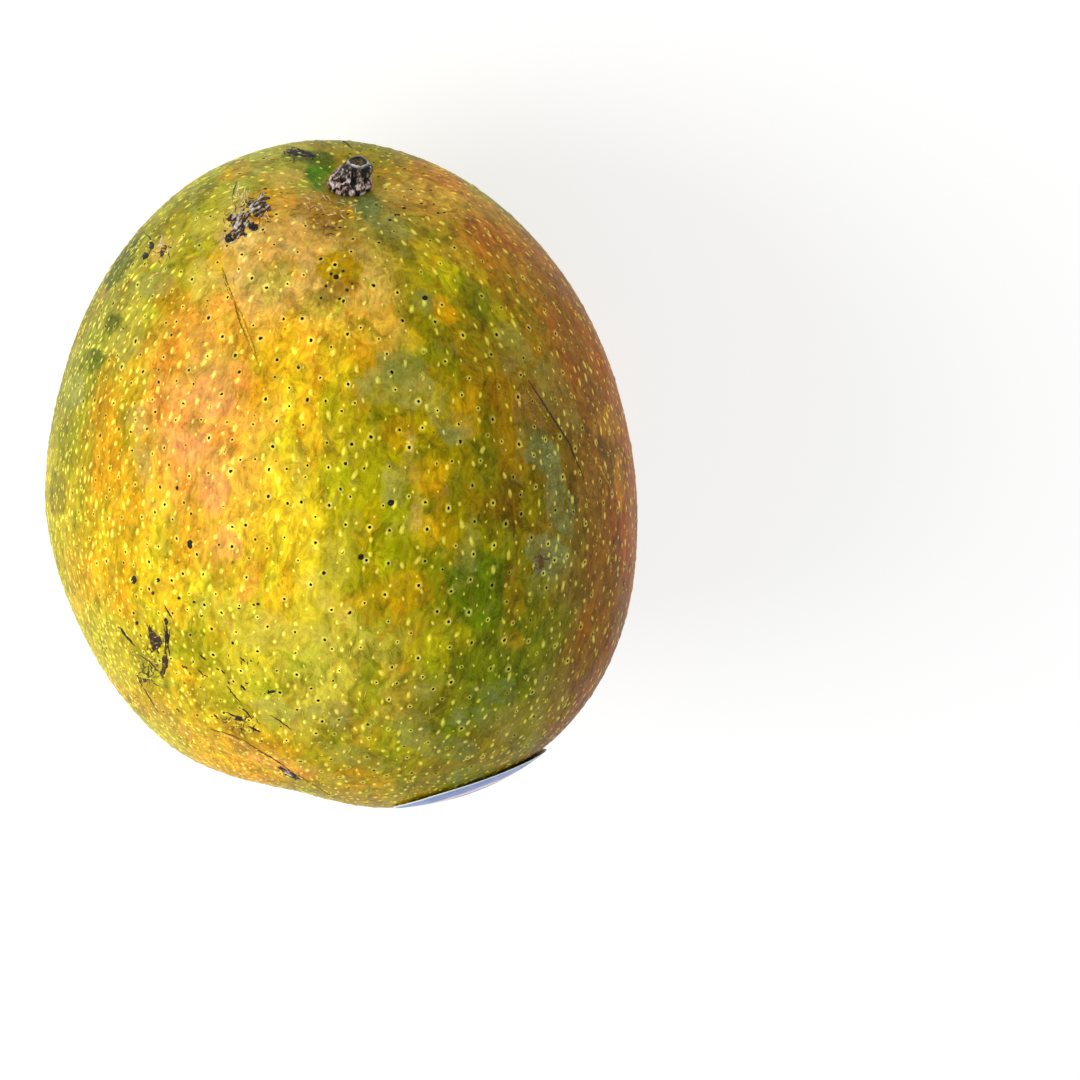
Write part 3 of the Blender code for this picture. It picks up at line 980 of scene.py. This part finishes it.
def scatter(spacing, crown, tries, seed, allowed):
    # Places on the skin that keep their distance: every net point is tried in random order
    draw = np.random.default_rng(seed)
    order = draw.permutation(len(skinPoints))[:tries]
    wider = 1.0 + (crown - 1.0) * smoothStep(0.60, 0.95, skinNormals @ np.array(cameraAxes()[2]))
    wider *= 1.0 + (pores["blushWider"] - 1.0) * smoothStep(*pores["blushFrom"], skinPoints[:, 0])
    gaps = spacing * wider * draw.uniform(*pores["gapSpread"], len(skinPoints))
    cellSize = pores["cell"]
    taken = {}
    chosen = []
    for index in order:
        if not allowed[index]:
            continue
        place = skinPoints[index] + draw.uniform(-pores["shake"], pores["shake"], 3) * mm
        low = np.floor((place - gaps[index]) / cellSize).astype(int)
        high = np.floor((place + gaps[index]) / cellSize).astype(int) + 1
        x, y, z = place
        if all((a - x) ** 2 + (b - y) ** 2 + (c - z) ** 2 > gaps[index] ** 2
               for cell in itertools.product(*(range(*ends) for ends in zip(low, high)))
               for a, b, c in taken.get(cell, ())):
            home = tuple(np.floor(place / cellSize).astype(int))
            taken.setdefault(home, []).append((x, y, z))
            chosen.append(place)
    return chosen


def placePores(name, template, places, wide, longer, high, seed):
    # Copies the template to every place, laid along the grain, and drops its rim onto the skin
    draw = np.random.default_rng(seed)
    shape = readPoints(template)
    faces = [tuple(face.vertices) for face in template.data.polygons]
    level = shape[:, 2].copy()
    outer = np.hypot(shape[:, 0], shape[:, 1])
    allPoints, allFaces = [], []
    tip = Vector((0.0, -1.0, 0.0))
    for place in places:
        centre, normal, index, far = skinTree.find_nearest(Vector(place))
        grain = tip - normal * tip.dot(normal)
        grain = grain.normalized() if grain.length > 0.05 else normal.orthogonal().normalized()
        lean = math.radians(draw.normal(0.0, pores["lean"]))
        grain = Matrix.Rotation(lean, 3, normal) @ grain
        across = normal.cross(grain)
        half = wide[0] + (wide[1] - wide[0]) * draw.random() ** pores["mostlySmall"]
        stretch = draw.uniform(*longer)
        lumps = 1.0 + pores["lumps"] * draw.standard_normal(len(shape))
        start = len(allPoints)
        for i, (x, y, z) in enumerate(shape):
            spot = centre + across * (x * half * lumps[i]) + grain * (y * half * stretch * lumps[i])
            onSkin, skinNormal, index, far = skinTree.find_nearest(spot)
            allPoints.append(onSkin + skinNormal * (z * high))
        allFaces.extend(tuple(v + start for v in face) for face in faces)
    piece = pieceFrom(name, allPoints, allFaces)
    paintPiece(piece)
    bpy.data.objects.remove(template)
    return piece, np.tile(level, len(places)), np.tile(outer, len(places))


def finishPores(piece, pore, pit):
    writeNumbers(piece, "pore", pore)
    writeNumbers(piece, "pit", pit)
    piece.data.materials.append(porePaint)
    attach(piece, "root")


print("pores")
skinPoints = readPoints(skinPiece)
skinNormals = readNormals(skinPiece)
upFromRest = skinPoints[:, 2] > pores["restClear"]
stubMiddle = np.array([(a + b) / 2 for a, b in zip(*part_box("stem_stub"))])
awayFromStub = ((skinPoints - stubMiddle) ** 2).sum(axis=1) > pores["stubClear"] ** 2
poreGround = upFromRest & awayFromStub

plainPlaces = scatter(pores["plainSpacing"], pores["plainCrown"], pores["plainTries"], 31, poreGround)
plainShape = ringDisc("plainPore", 6, [(2.1, -0.3), (1.15, 0.3), (0.7, 0.9)])
plainPores, level, outer = placePores("plainPores", plainShape, plainPlaces, pores["plainWide"],
                                      pores["plainLong"], pores["plainHigh"], 32)
finishPores(plainPores, np.interp(level, [-0.3, 0.3, 0.9], [0.0, 0.55, 1.0]), np.zeros(len(level)))
print(len(plainPlaces), "plain pores")

pittedPlaces = scatter(pores["pittedSpacing"], pores["pittedCrown"], pores["pittedTries"], 33, poreGround)
pittedShape = ringDisc("pittedPore", 8, [(1.5, -0.3), (1.0, 0.3), (0.74, 1.0), (0.54, 0.8), (0.42, -0.2)])
pittedPores, level, outer = placePores("pittedPores", pittedShape, pittedPlaces, pores["pittedWide"],
                                       (1.0, 1.25), pores["pittedHigh"], 34)
ringed = np.interp(outer, [0.5, 0.74, 1.0, 1.5], [1.0, 1.0, 0.40, 0.0])
vary = np.random.default_rng(35)
ringed *= np.repeat(vary.uniform(0.25, 1.0, len(pittedPlaces)), len(ringed) // len(pittedPlaces))
fromStub = np.linalg.norm(readPoints(pittedPores) - stubMiddle, axis=1)
ringed *= 0.15 + 0.85 * smoothStep(*pores["stemFade"], fromStub)  # round the stem the pits have hardly a ring
finishPores(pittedPores, ringed, smoothStep(0.54, 0.44, outer))
print(len(pittedPlaces), "pitted pores")


# Crusts: scabs, strokes and the dry stem share one finish, coloured crest by crest

def crustMaterial():
    material, tree = newMaterial("dryCrust")
    n = Nodes(tree)
    place = addNode(tree, "ShaderNodeTexCoord").outputs["Object"]
    speckle = n.noise(place, 2600.0, 4.0, 0.65)
    tone = n.step(speckle, 0.30, 0.70, 0.62, 1.30, "LINEAR")
    colour = n.tinted(attribute(tree, "paint", "Color"), tone)
    inputs = joinSurface(tree, colour, n.step(speckle, 0.3, 0.7, 0.75, 0.5), speckle, 0.12 * mm)
    inputs["Specular IOR Level"].default_value = 0.3
    return material


def crestPaint(values, stops):
    # Paints along a run of (value, paint) stops
    marks = [stop for stop, paint in stops]
    table = np.array([linearPaint(paint) for stop, paint in stops])
    return np.stack([np.interp(values, marks, table[:, channel]) for channel in range(3)], axis=1)


def finishCrust(piece):
    piece.data.materials.append(crustPaint)
    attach(piece, "root")


# Pixel, half width, half height, turn, height, stops of paint
scabs = [
    (242, 222, 15, 11, -55, 0.30, "grey"), (258, 206, 14, 9, -35, 0.30, "grey"),
    (229, 237, 6, 5, 0, 0.4, "black"), (253, 227, 5, 4, -40, 0.3, "black"),
    (145, 255, 3, 5, 10, 0.3, "black"), (152, 246, 2, 3, 0, 0.2, "black"),
    (163, 252, 3, 6, 10, 0.15, "brown"), (151, 637, 1.6, 13, -10, 0.22, "brown"),
    (167, 636, 1.8, 15, -4, 0.25, "black"), (165, 661, 2.6, 12, 8, 0.2, "brown"),
    (156, 641, 6, 12, -10, 0.12, "brown"), (542, 564, 4, 7, 10, 0.15, "rusty"),
    (240, 719, 9, 3, 28, 0.14, "brown"), (288, 773, 12, 3, 30, 0.25, "grey"),
    (301, 153, 15, 3, 10, 0.12, "black"), (332, 267, 1.6, 1.6, 0, 0.1, "speck"),
    (336, 277, 3.0, 2.6, 0, 0.15, "speck"), (331, 274, 1.8, 1.8, 0, 0.1, "speck"),
    (343, 271, 1.6, 1.6, 0, 0.1, "speck"), (326, 286, 1.6, 1.8, 0, 0.1, "speck"),
    (340, 299, 2.2, 1.8, 0, 0.1, "speck"), (347, 290, 1.8, 1.8, 0, 0.1, "speck"),
    (352, 284, 1.5, 1.5, 0, 0.1, "speck"), (321, 298, 1.5, 1.5, 0, 0.1, "speck"),
    (396, 215, 2.2, 1.6, 30, 0.1, "speck"), (190, 544, 3, 5, 0, 0.2, "speck"),
    (134, 580, 2.6, 4.5, 0, 0.2, "speck"), (158, 580, 2.5, 3, 0, 0.15, "black"),
    (391, 503, 3.6, 3.4, 0, 0.2, "speck"), (361, 557, 3.2, 3.2, 0, 0.15, "speck"),
    (425, 298, 3, 2.6, 0, 0.12, "speck"), (177, 488, 1.6, 2.6, 0, 0.12, "speck"),
    (153, 593, 1.6, 2, 0, 0.12, "speck"), (179, 598, 1.8, 2, 0, 0.12, "speck"),
    (194, 602, 1.8, 1.6, 0, 0.12, "speck"), (137, 623, 1.8, 2, 0, 0.12, "speck"),
    (239, 608, 1.8, 1.6, 0, 0.12, "speck"), (258, 604, 2, 1.6, 0, 0.12, "speck"),
    (404, 208, 2.0, 1.6, 0, 0.12, "speck"), (390, 220, 1.8, 1.3, 0, 0.12, "speck"),
    (422, 204, 1.4, 1.2, 0, 0.12, "speck"), (438, 213, 1.8, 1.2, 20, 0.12, "speck"),
]
# Low crests are dark and high crests pale: partly the crust's own colours, partly painted shade in the
# hollows and painted highlight on the ridges
scabStops = {
    "grey": [(0.0, "almostBlack"), (0.24, "stubDark"), (0.36, "scabBrown"), (0.48, "tan"), (0.60, "scabGrey"),
             (0.76, "scabWhite"), (1.0, "scabWhite")],
    "brown": [(0.0, "almostBlack"), (0.5, "scabBrown"), (0.8, "goldBrown"), (1.0, "beige")],
    "rusty": [(0.0, "umber"), (0.5, "rust"), (1.0, "tan")],
    "black": [(0.0, "almostBlack"), (0.6, "almostBlack"), (0.85, "scabBrown"), (1.0, "scabGrey")],
    "speck": [(0.0, "almostBlack"), (0.75, "almostBlack"), (1.0, "scabBrown")],
}


scabShape = {
    "netPerPixel": 4.5,
    "spread": 1.4,  # the net reaches this far past the scab's size
    "tornSize": 1.6 * mm,
    "torn": (0.5, 2.3),  # specks, larger scabs
    "strandSize": 0.36 * mm,
    "strandShort": 3.2,
    "crestSharp": 3.4,
    "rimSoft": 0.22,
    "sunk": 0.06 * mm,
}


def makeScab(number, scab):
    across, down, halfWide, halfHigh, turn, high, stops = scab
    shape = scabShape
    cosine, sine = math.cos(math.radians(turn)), math.sin(math.radians(turn))
    columns, rows = (max(8, int(half * shape["netPerPixel"])) for half in (halfWide, halfHigh))
    piece, flat = gridPiece("scab", columns, rows)
    flat = flat[:, :2] * shape["spread"]
    lowered = []
    for u, v in flat:
        x, y = u * halfWide, v * halfHigh
        place, normal = skinAt(across + x * cosine - y * sine, down + x * sine + y * cosine)
        lowered.append((*place, *normal))
    places, normals = np.array(lowered)[:, :3], np.array(lowered)[:, 3:]
    torn = ragged(places, shape["tornSize"], 60 + number) - 0.5
    # Strands run along the longer way
    stretched = flat * (halfWide / shape["strandShort"], halfHigh)
    strands = np.concatenate([stretched, np.zeros((len(flat), 1))], axis=1)
    crest = ragged(strands / photo["pixelsPerMetre"], shape["strandSize"], 80 + number)
    crest = np.clip(shape["crestSharp"] * np.abs(crest - 0.5), 0, 1)
    edge = 1.0 - np.hypot(flat[:, 0], flat[:, 1]) + shape["torn"][0 if stops == "speck" else 1] * torn
    body = smoothStep(0.0, shape["rimSoft"], edge)
    height = high * mm * (0.25 + 0.75 * crest) * body - shape["sunk"] * (1 - body)
    writePoints(piece, places + normals * height[:, None])
    # Paler on the ridges, darker in the hollows and at the rim: partly crust colour, partly painted highlight
    # and painted shade
    writeColours(piece, "paint", crestPaint(crest * (0.35 + 0.65 * body), scabStops[stops]))
    dropPoints(piece, smoothStep(-0.5, -0.3, edge) <= 0.0)
    return piece


print("scabs")
crustPaint = crustMaterial()
scabPiece = joinPieces("scabs", [makeScab(number, scab) for number, scab in enumerate(scabs)])
finishCrust(scabPiece)


# Strokes: thin tapered ridges that follow the skin, through a few pixels each

# Paint, half width in pixels, height, path
strokes = [
    ("tan", 0.9, 0.08, [(322, 226), (329, 223), (337, 227)]),
    ("umber", 0.7, 0.08, [(323, 230), (330, 227), (337, 231)]),
    ("umber", 0.6, 0.08, [(325, 236), (331, 233), (336, 236)]),
    ("beige", 0.8, 0.08, [(324, 239), (331, 237), (337, 242)]),
    ("almostBlack", 1.3, 0.10, [(118, 625), (124, 633), (130, 641), (135, 646)]),
    ("almostBlack", 0.9, 0.10, [(165, 606), (168, 612), (172, 618)]),
    ("scabBrown", 0.7, 0.08, [(136, 673), (141, 684), (146, 692), (158, 712)]),
    ("scabBrown", 0.9, 0.08, [(147, 624), (150, 634), (152, 644), (155, 651)]),
    ("almostBlack", 0.8, 0.08, [(163, 621), (166, 636), (165, 650), (168, 662), (164, 673)]),
    ("umber", 0.6, 0.06, [(141, 668), (148, 676), (156, 684)]),
    ("umber", 0.6, 0.06, [(150, 660), (148, 672), (150, 686)]),
    ("umber", 0.6, 0.06, [(158, 662), (153, 674), (144, 682)]),
    ("tan", 0.6, 0.06, [(146, 660), (158, 670), (168, 681)]),
    ("scabBrown", 0.8, 0.08, [(170, 628), (168, 645), (171, 660)]),
    ("scabBrown", 0.8, 0.08, [(140, 655), (150, 662), (163, 676)]),
    ("almostBlack", 1.0, 0.10, [(226, 712), (234, 716), (245, 722)]),
    ("almostBlack", 0.8, 0.10, [(238, 706), (246, 711), (251, 718)]),
    ("almostBlack", 1.2, 0.10, [(248, 726), (254, 729), (261, 732)]),
    ("umber", 0.6, 0.08, [(210, 729), (222, 732), (234, 736), (245, 741)]),
    ("scabBrown", 0.8, 0.08, [(245, 741), (258, 750), (272, 758), (290, 770)]),
    ("brown", 0.7, 0.08, [(290, 770), (312, 784), (330, 795)]),
    ("beige", 0.8, 0.10, [(214, 734), (226, 735), (240, 742), (254, 753), (266, 762)]),
    ("almostBlack", 1.3, 0.08, [(200, 655), (206, 660)]),
    ("almostBlack", 1.1, 0.08, [(184, 666), (188, 669)]),
    ("almostBlack", 0.9, 0.08, [(198, 669), (203, 675), (208, 677)]),
    ("almostBlack", 0.9, 0.08, [(216, 668), (219, 670)]),
    ("almostBlack", 0.9, 0.08, [(221, 670), (225, 674)]),
    ("almostBlack", 1.0, 0.08, [(240, 657), (245, 662)]),
    ("almostBlack", 1.4, 0.08, [(267, 693), (276, 691)]),
    ("almostBlack", 1.0, 0.08, [(268, 690), (269, 694)]),
    ("almostBlack", 1.3, 0.08, [(241, 685), (245, 690)]),
    ("almostBlack", 1.1, 0.08, [(214, 714), (218, 719)]),
    ("scabBrown", 0.8, 0.08, [(176, 708), (180, 712)]),
    ("scabBrown", 0.8, 0.08, [(227, 686), (233, 694), (240, 702)]),
    ("scabBrown", 0.8, 0.08, [(270, 715), (280, 721), (292, 730)]),
    ("scabBrown", 0.7, 0.08, [(143, 232), (150, 238), (152, 247), (148, 256)]),
    ("beige", 0.9, 0.08, [(148, 280), (153, 275), (163, 271)]),
    ("scabBrown", 0.9, 0.10, [(528, 380), (540, 398), (553, 418), (562, 432), (569, 443), (584, 479)]),
    ("yellowGreen", 1.0, 0.08, [(524, 384), (538, 406), (549, 424)]),
    ("amber", 0.9, 0.08, [(592, 453), (600, 468), (611, 489)]),
    ("waxStraw", 0.7, 0.08, [(220, 613), (227, 622), (235, 630), (237, 640)]),
    ("beige", 0.8, 0.08, [(190, 365), (193, 373), (195, 381)]),
    ("hairPale", 0.8, 0.08, [(235, 202), (237, 192), (240, 183)]),
    ("hairPale", 0.8, 0.08, [(240, 203), (243, 194), (247, 185)]),
    ("waxStraw", 0.7, 0.08, [(245, 200), (249, 193), (253, 187)]),
    ("scabBrown", 0.6, 0.08, [(232, 200), (234, 190), (237, 182)]),
    ("almostBlack", 0.8, 0.08, [(339, 140), (346, 143), (352, 148)]),
    ("almostBlack", 1.0, 0.08, [(292, 147), (303, 151), (316, 158)]),
    ("scabBrown", 0.5, 0.06, [(322, 228), (330, 226), (338, 229)]),
    ("goldBrown", 1.8, 0.07, [(222, 268), (226, 282), (231, 295), (236, 306)]),
    ("gold", 0.9, 0.12, [(222, 268), (226, 282), (231, 295), (236, 306)]),
    ("umber", 0.6, 0.10, [(233, 300), (239, 320), (246, 338)]),
    ("goldOlive", 3.0, 0.08, [(235, 302), (242, 322), (250, 342), (258, 364)]),
    ("gold", 1.9, 0.14, [(238, 308), (244, 324), (251, 343), (256, 356)]),
]

# Fields of short hairs and scratches: middle, half size, how many, length, half width, lean, paint
hatchings = [
    (248, 211, 20, 17, 34, 8, 0.35, 50, "hairPale"), (246, 214, 24, 19, 22, 7, 0.45, 60, "stubDark"),
    (240, 196, 9, 12, 9, 11, 0.45, 12, "hairPale"), (230, 238, 8, 6, 6, 5, 0.5, 80, "scabWhite"),
    (161, 246, 10, 15, 10, 6, 0.5, 30, "scabBrown"), (160, 247, 9, 14, 7, 5, 0.45, 30, "scabWhite"),
    (149, 669, 13, 15, 22, 7, 0.55, 60, "scabBrown"), (150, 667, 13, 15, 10, 6, 0.5, 60, "beige"),
    (158, 640, 12, 18, 10, 6, 0.45, 25, "almostBlack"), (240, 721, 18, 8, 16, 7, 0.5, 50, "scabBrown"),
    (240, 722, 18, 8, 8, 6, 0.5, 50, "beige"), (543, 562, 11, 13, 18, 8, 0.4, 70, "scabGrey"),
    (540, 566, 9, 11, 8, 5, 0.4, 70, "scabBrown"), (300, 152, 18, 6, 12, 6, 0.5, 25, "almostBlack"),
    (310, 212, 16, 12, 8, 6, 0.4, 50, "brown"), (220, 668, 50, 20, 9, 4, 0.6, 40, "almostBlack"),
    (325, 210, 34, 16, 26, 8, 0.35, 60, "hairPale"), (352, 700, 90, 60, 26, 11, 0.35, 60, "straw"),
    (225, 350, 90, 110, 26, 9, 0.35, 25, "gold"), (330, 226, 10, 6, 9, 6, 0.35, 60, "brown"),
]


strokeShape = {
    "step": 1.6,  # pixels between the points along a stroke
    "wobble": 0.25,
    "vary": (0.7, 1.3),
    "tipWide": 0.12,
    "taper": 4,
    "profile": ([0.0, 0.5, 1.0], [1.0, 0.75, -0.4]),  # from the ridge to the rim under the skin
    "hairHigh": 0.07,
    "hairVary": (0.7, 1.4),
    "hairCurl": 0.5,
    "hairParts": 3,
}


def alongPath(path, steps):
    # Even steps along straight runs between the pixels, and the length of the path
    corners = np.array(path, float)
    lengths = np.concatenate([[0], np.cumsum(np.hypot(*np.diff(corners, axis=0).T))])
    at = np.linspace(0, lengths[-1], steps)
    return np.stack([np.interp(at, lengths, corners[:, axis]) for axis in (0, 1)], axis=1), lengths[-1]


def hatchStrokes():
    draw = np.random.default_rng(97)
    parts = strokeShape["hairParts"]
    made = []
    for across, down, halfWide, halfHigh, count, length, half, lean, paint in hatchings:
        for hair in range(count):
            away, around = math.sqrt(draw.random()), draw.uniform(0, 2 * math.pi)
            start = np.array([across + away * halfWide * math.cos(around),
                              down + away * halfHigh * math.sin(around)])
            heading = math.radians(90 + draw.normal(0, lean))
            bend = draw.normal(0, strokeShape["hairCurl"])
            path = [start]
            for step in range(parts):
                path.append(path[-1] + length / parts * np.array([math.cos(heading), math.sin(heading)]))
                heading += bend
            made.append((paint, half * draw.uniform(*strokeShape["hairVary"]), strokeShape["hairHigh"], path))
    return made


def makeStroke(draw, paint, half, high, path):
    shape = strokeShape
    steps = max(5, int(alongPath(path, 2)[1] / shape["step"]))
    line, length = alongPath(path, steps + 1)
    line += draw.normal(0, shape["wobble"], line.shape)
    forward = np.gradient(line, axis=0)
    forward /= np.linalg.norm(forward, axis=1)[:, None] + 1e-9
    piece, flat = gridPiece("stroke", 4, steps)
    widths = draw.uniform(*shape["vary"], steps + 1)
    tones = draw.uniform(*shape["vary"], steps + 1)
    points, colours = [], []
    for side, along, z in flat:
        step = int(round((along + 1) / 2 * steps))
        part = step / steps
        nearTip = shape["taper"] * min(part, 1 - part)
        taper = max(shape["tipWide"], min(1.0, nearTip)) * widths[step]
        offset = side * half * taper
        place, normal = skinAt(line[step, 0] - forward[step, 1] * offset,
                               line[step, 1] + forward[step, 0] * offset)
        level = np.interp(abs(side), *shape["profile"])
        points.append(place + normal * (level * high * mm))
        colours.append(np.clip(linearPaint(paint) * tones[step], 0, 1))
    writePoints(piece, points)
    writeColours(piece, "paint", np.array(colours))
    return piece


print("strokes")
strokeDraw = np.random.default_rng(91)
allStrokes = [makeStroke(strokeDraw, *stroke) for stroke in strokes + hatchStrokes()]
strokePiece = joinPieces("skinStrokes", allStrokes)
startEdit(strokePiece)
bpy.ops.mesh.normals_make_consistent(inside=False)
endEdit()
finishCrust(strokePiece)


# The dry stem: the solid's own shape, made fine, then folded and torn

stub = {
    "weld": 0.01 * mm,
    "voxel": 0.11 * mm,
    "drawnOut": (1.0, 0.45, 1.0),
    "top": (0.80, 0.92),  # share of the stub's length where its top begins
    "foldHigh": 0.55 * mm,
    "foldSize": 0.85 * mm,
    "fineHigh": 0.22 * mm,
    "fineSize": 0.36 * mm,
    "discRadius": 1.9 * mm,
    "ringHigh": 0.22 * mm,
    "ringHalf": 0.18 * mm,
    "dishDeep": 0.35 * mm,
    "darkHalf": 0.22 * mm,
    "narrower": 0.86,
    # Fold colours run from the hollows to the crests: partly the dry stem's own colours, partly painted shade
    # in the hollows and painted highlight on the crests
    "folds": [(0.0, "almostBlack"), (0.36, "stubDark"), (0.50, "scabBrown"), (0.64, "stubPink"),
              (0.86, "stubWhite"), (1.0, "stubWhite")],
    "upperFolds": [(0.0, "almostBlack"), (0.50, "almostBlack"), (0.72, "smoke"), (1.0, "stubWhite")],
    "core": [(0.35, "almostBlack"), (0.52, "umber"), (0.66, "olive")],
}


def toPaint(colours, paint, share):
    return colours + (paint - colours) * share[:, None]


def makeStub():
    piece = copySolid("stem_stub", "dryStem", stub["weld"])
    applyModifier(piece, "REMESH", mode="VOXEL", voxel_size=stub["voxel"], adaptivity=0.0)
    bpy.ops.object.shade_smooth()
    points, normals = readPoints(piece), readNormals(piece)
    low, high = points.min(axis=0), points.max(axis=0)
    axis = np.array([(low[0] + high[0]) / 2, 0, (low[2] + high[2]) / 2])
    rise = (points[:, 1] - low[1]) / (high[1] - low[1])
    # Folds run up the stub: noise is drawn out along its axis
    drawn = (points - axis) * np.array(stub["drawnOut"])
    fold = ragged(drawn, stub["foldSize"], 71)
    crest = np.clip(1.0 - 3.2 * np.abs(fold - 0.5), 0, 1)
    fine = ragged(points, stub["fineSize"], 73)
    top = smoothStep(*stub["top"], rise)
    push = stub["foldHigh"] * (crest - 0.45) * (1.0 - 0.75 * top) + stub["fineHigh"] * (fine - 0.5)
    points += normals * push[:, None]
    # The top is a shallow dish with a raised ring
    tip = points[rise > 0.93].mean(axis=0)
    fromTip = np.hypot(points[:, 0] - tip[0], points[:, 2] - tip[2])
    ring = np.exp(-((fromTip - stub["discRadius"]) / stub["ringHalf"]) ** 2) * top
    dish = smoothStep(stub["discRadius"] * 0.85, stub["discRadius"] * 0.5, fromTip) * top
    points[:, 1] += stub["ringHigh"] * ring - stub["dishDeep"] * dish
    points[:, 1] = np.minimum(points[:, 1], high[1])
    points[:, 0] = axis[0] + (points[:, 0] - axis[0]) * stub["narrower"]
    writePoints(piece, points)

    # Darker in the fold hollows and paler on the crests: partly the stem's own colours, partly painted shade
    # and painted highlight
    value = np.clip(-0.03 + 0.75 * crest + 1.1 * (fine - 0.5), 0, 1)
    colours = crestPaint(value, stub["folds"])
    colours = toPaint(colours, crestPaint(value, stub["upperFolds"]), smoothStep(0.35, 0.70, rise) * 0.9)
    colours = toPaint(colours, linearPaint("stubWhite"), ring * (0.15 + 0.9 * fine))
    colours = toPaint(colours, crestPaint(fine, stub["core"]), dish)
    dark = np.exp(-((fromTip - stub["discRadius"] * 0.72) / stub["darkHalf"]) ** 2) * top
    colours = toPaint(colours, linearPaint("almostBlack"), dark)
    writeColours(piece, "paint", np.clip(colours, 0, 1))
    return piece


print("dry stem")
stubPiece = makeStub()
finishCrust(stubPiece)
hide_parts("stem_stub")


# The label: a thin oval of film, pressed onto the skin, with a plain printed border

label = {
    "long": 29.0 * mm,
    "wide": 21.6 * mm,
    "insets": 26,
    "sides": 96,
    "nearer": 0.8 * mm,  # the middle stands this much towards the camera, and the far edge stays
    "lift": 0.06 * mm,
    "peel": 0.55 * mm,  # more at the edge that faces the camera
    "thick": 0.10 * mm,
    # Each ring of colour from its outer to its inner radius, as shares of the label's own
    "rings": [((0.968, 0.962), (0.655, 0.662), (0.075, 0.21, 0.62, 1)),
              ((0.635, 0.628), (0.590, 0.597), (0.78, 0.16, 0.15, 1))],
    "white": (0.88, 0.89, 0.90, 1),
    "middle": (0.012, 0.06, 0.46, 1),
}


def makeLabel():
    low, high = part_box("label")
    centre, normal, index, far = skinTree.find_nearest((low + high) / 2)
    source = readPoints(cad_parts["label"])
    spread = source - source.mean(axis=0)
    longAxis = Vector(np.linalg.svd(spread, full_matrices=False)[2][0])
    longAxis = (longAxis - normal * longAxis.dot(normal)).normalized()
    wideAxis = normal.cross(longAxis)
    insets = label["insets"]
    piece = ringDisc("roundLabel", label["sides"], [(1 - step / insets, 0.0) for step in range(insets)])
    flat = readPoints(piece)
    peelSide = math.copysign(1.0, wideAxis.dot(cameraAxes()[2]))
    centre = centre + wideAxis * (peelSide * label["nearer"])
    peels = label["lift"] + label["peel"] * smoothStep(-0.5, 0.5, flat[:, 1] * peelSide)
    points = []
    for (x, y, z), lift in zip(flat, peels):
        spot = centre + longAxis * (x * label["long"] / 2) + wideAxis * (y * label["wide"] / 2)
        hit, hitNormal, index, far = skinTree.ray_cast(spot + normal * 0.02, -normal)
        points.append(hit + hitNormal * lift)
    writePoints(piece, points)
    writeNumbers(piece, "ringPlace", np.hypot(flat[:, 0], flat[:, 1]))
    applyModifier(piece, "SOLIDIFY", thickness=label["thick"], offset=1.0)
    bpy.ops.object.shade_smooth_by_angle(angle=math.radians(50))
    return piece


def labelMaterial():
    material, tree = newMaterial("labelFilm")
    n = Nodes(tree)
    ring = attribute(tree, "ringPlace", "Fac")
    place = addNode(tree, "ShaderNodeTexCoord").outputs["Object"]
    colour = label["white"]
    for outer, inner, paint in label["rings"]:
        colour = n.mix(n.times(n.step(ring, *outer), n.step(ring, *inner)), colour, paint)
    colour = n.mix(n.step(ring, 0.50, 0.49), colour, label["middle"])
    wear = n.step(n.noise(place, 900.0, 3.0), 0.35, 0.75, 0.94, 1.05, "LINEAR")
    rough = n.step(n.noise(place, 300.0), 0.3, 0.7, 0.28, 0.42)
    joinSurface(tree, n.tinted(colour, wear), rough, n.noise(place, 420.0, 2.0), 0.03 * mm)
    return material


print("label")
labelPiece = makeLabel()
labelPiece.data.materials.append(labelMaterial())
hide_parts("label")
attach(labelPiece, "root")
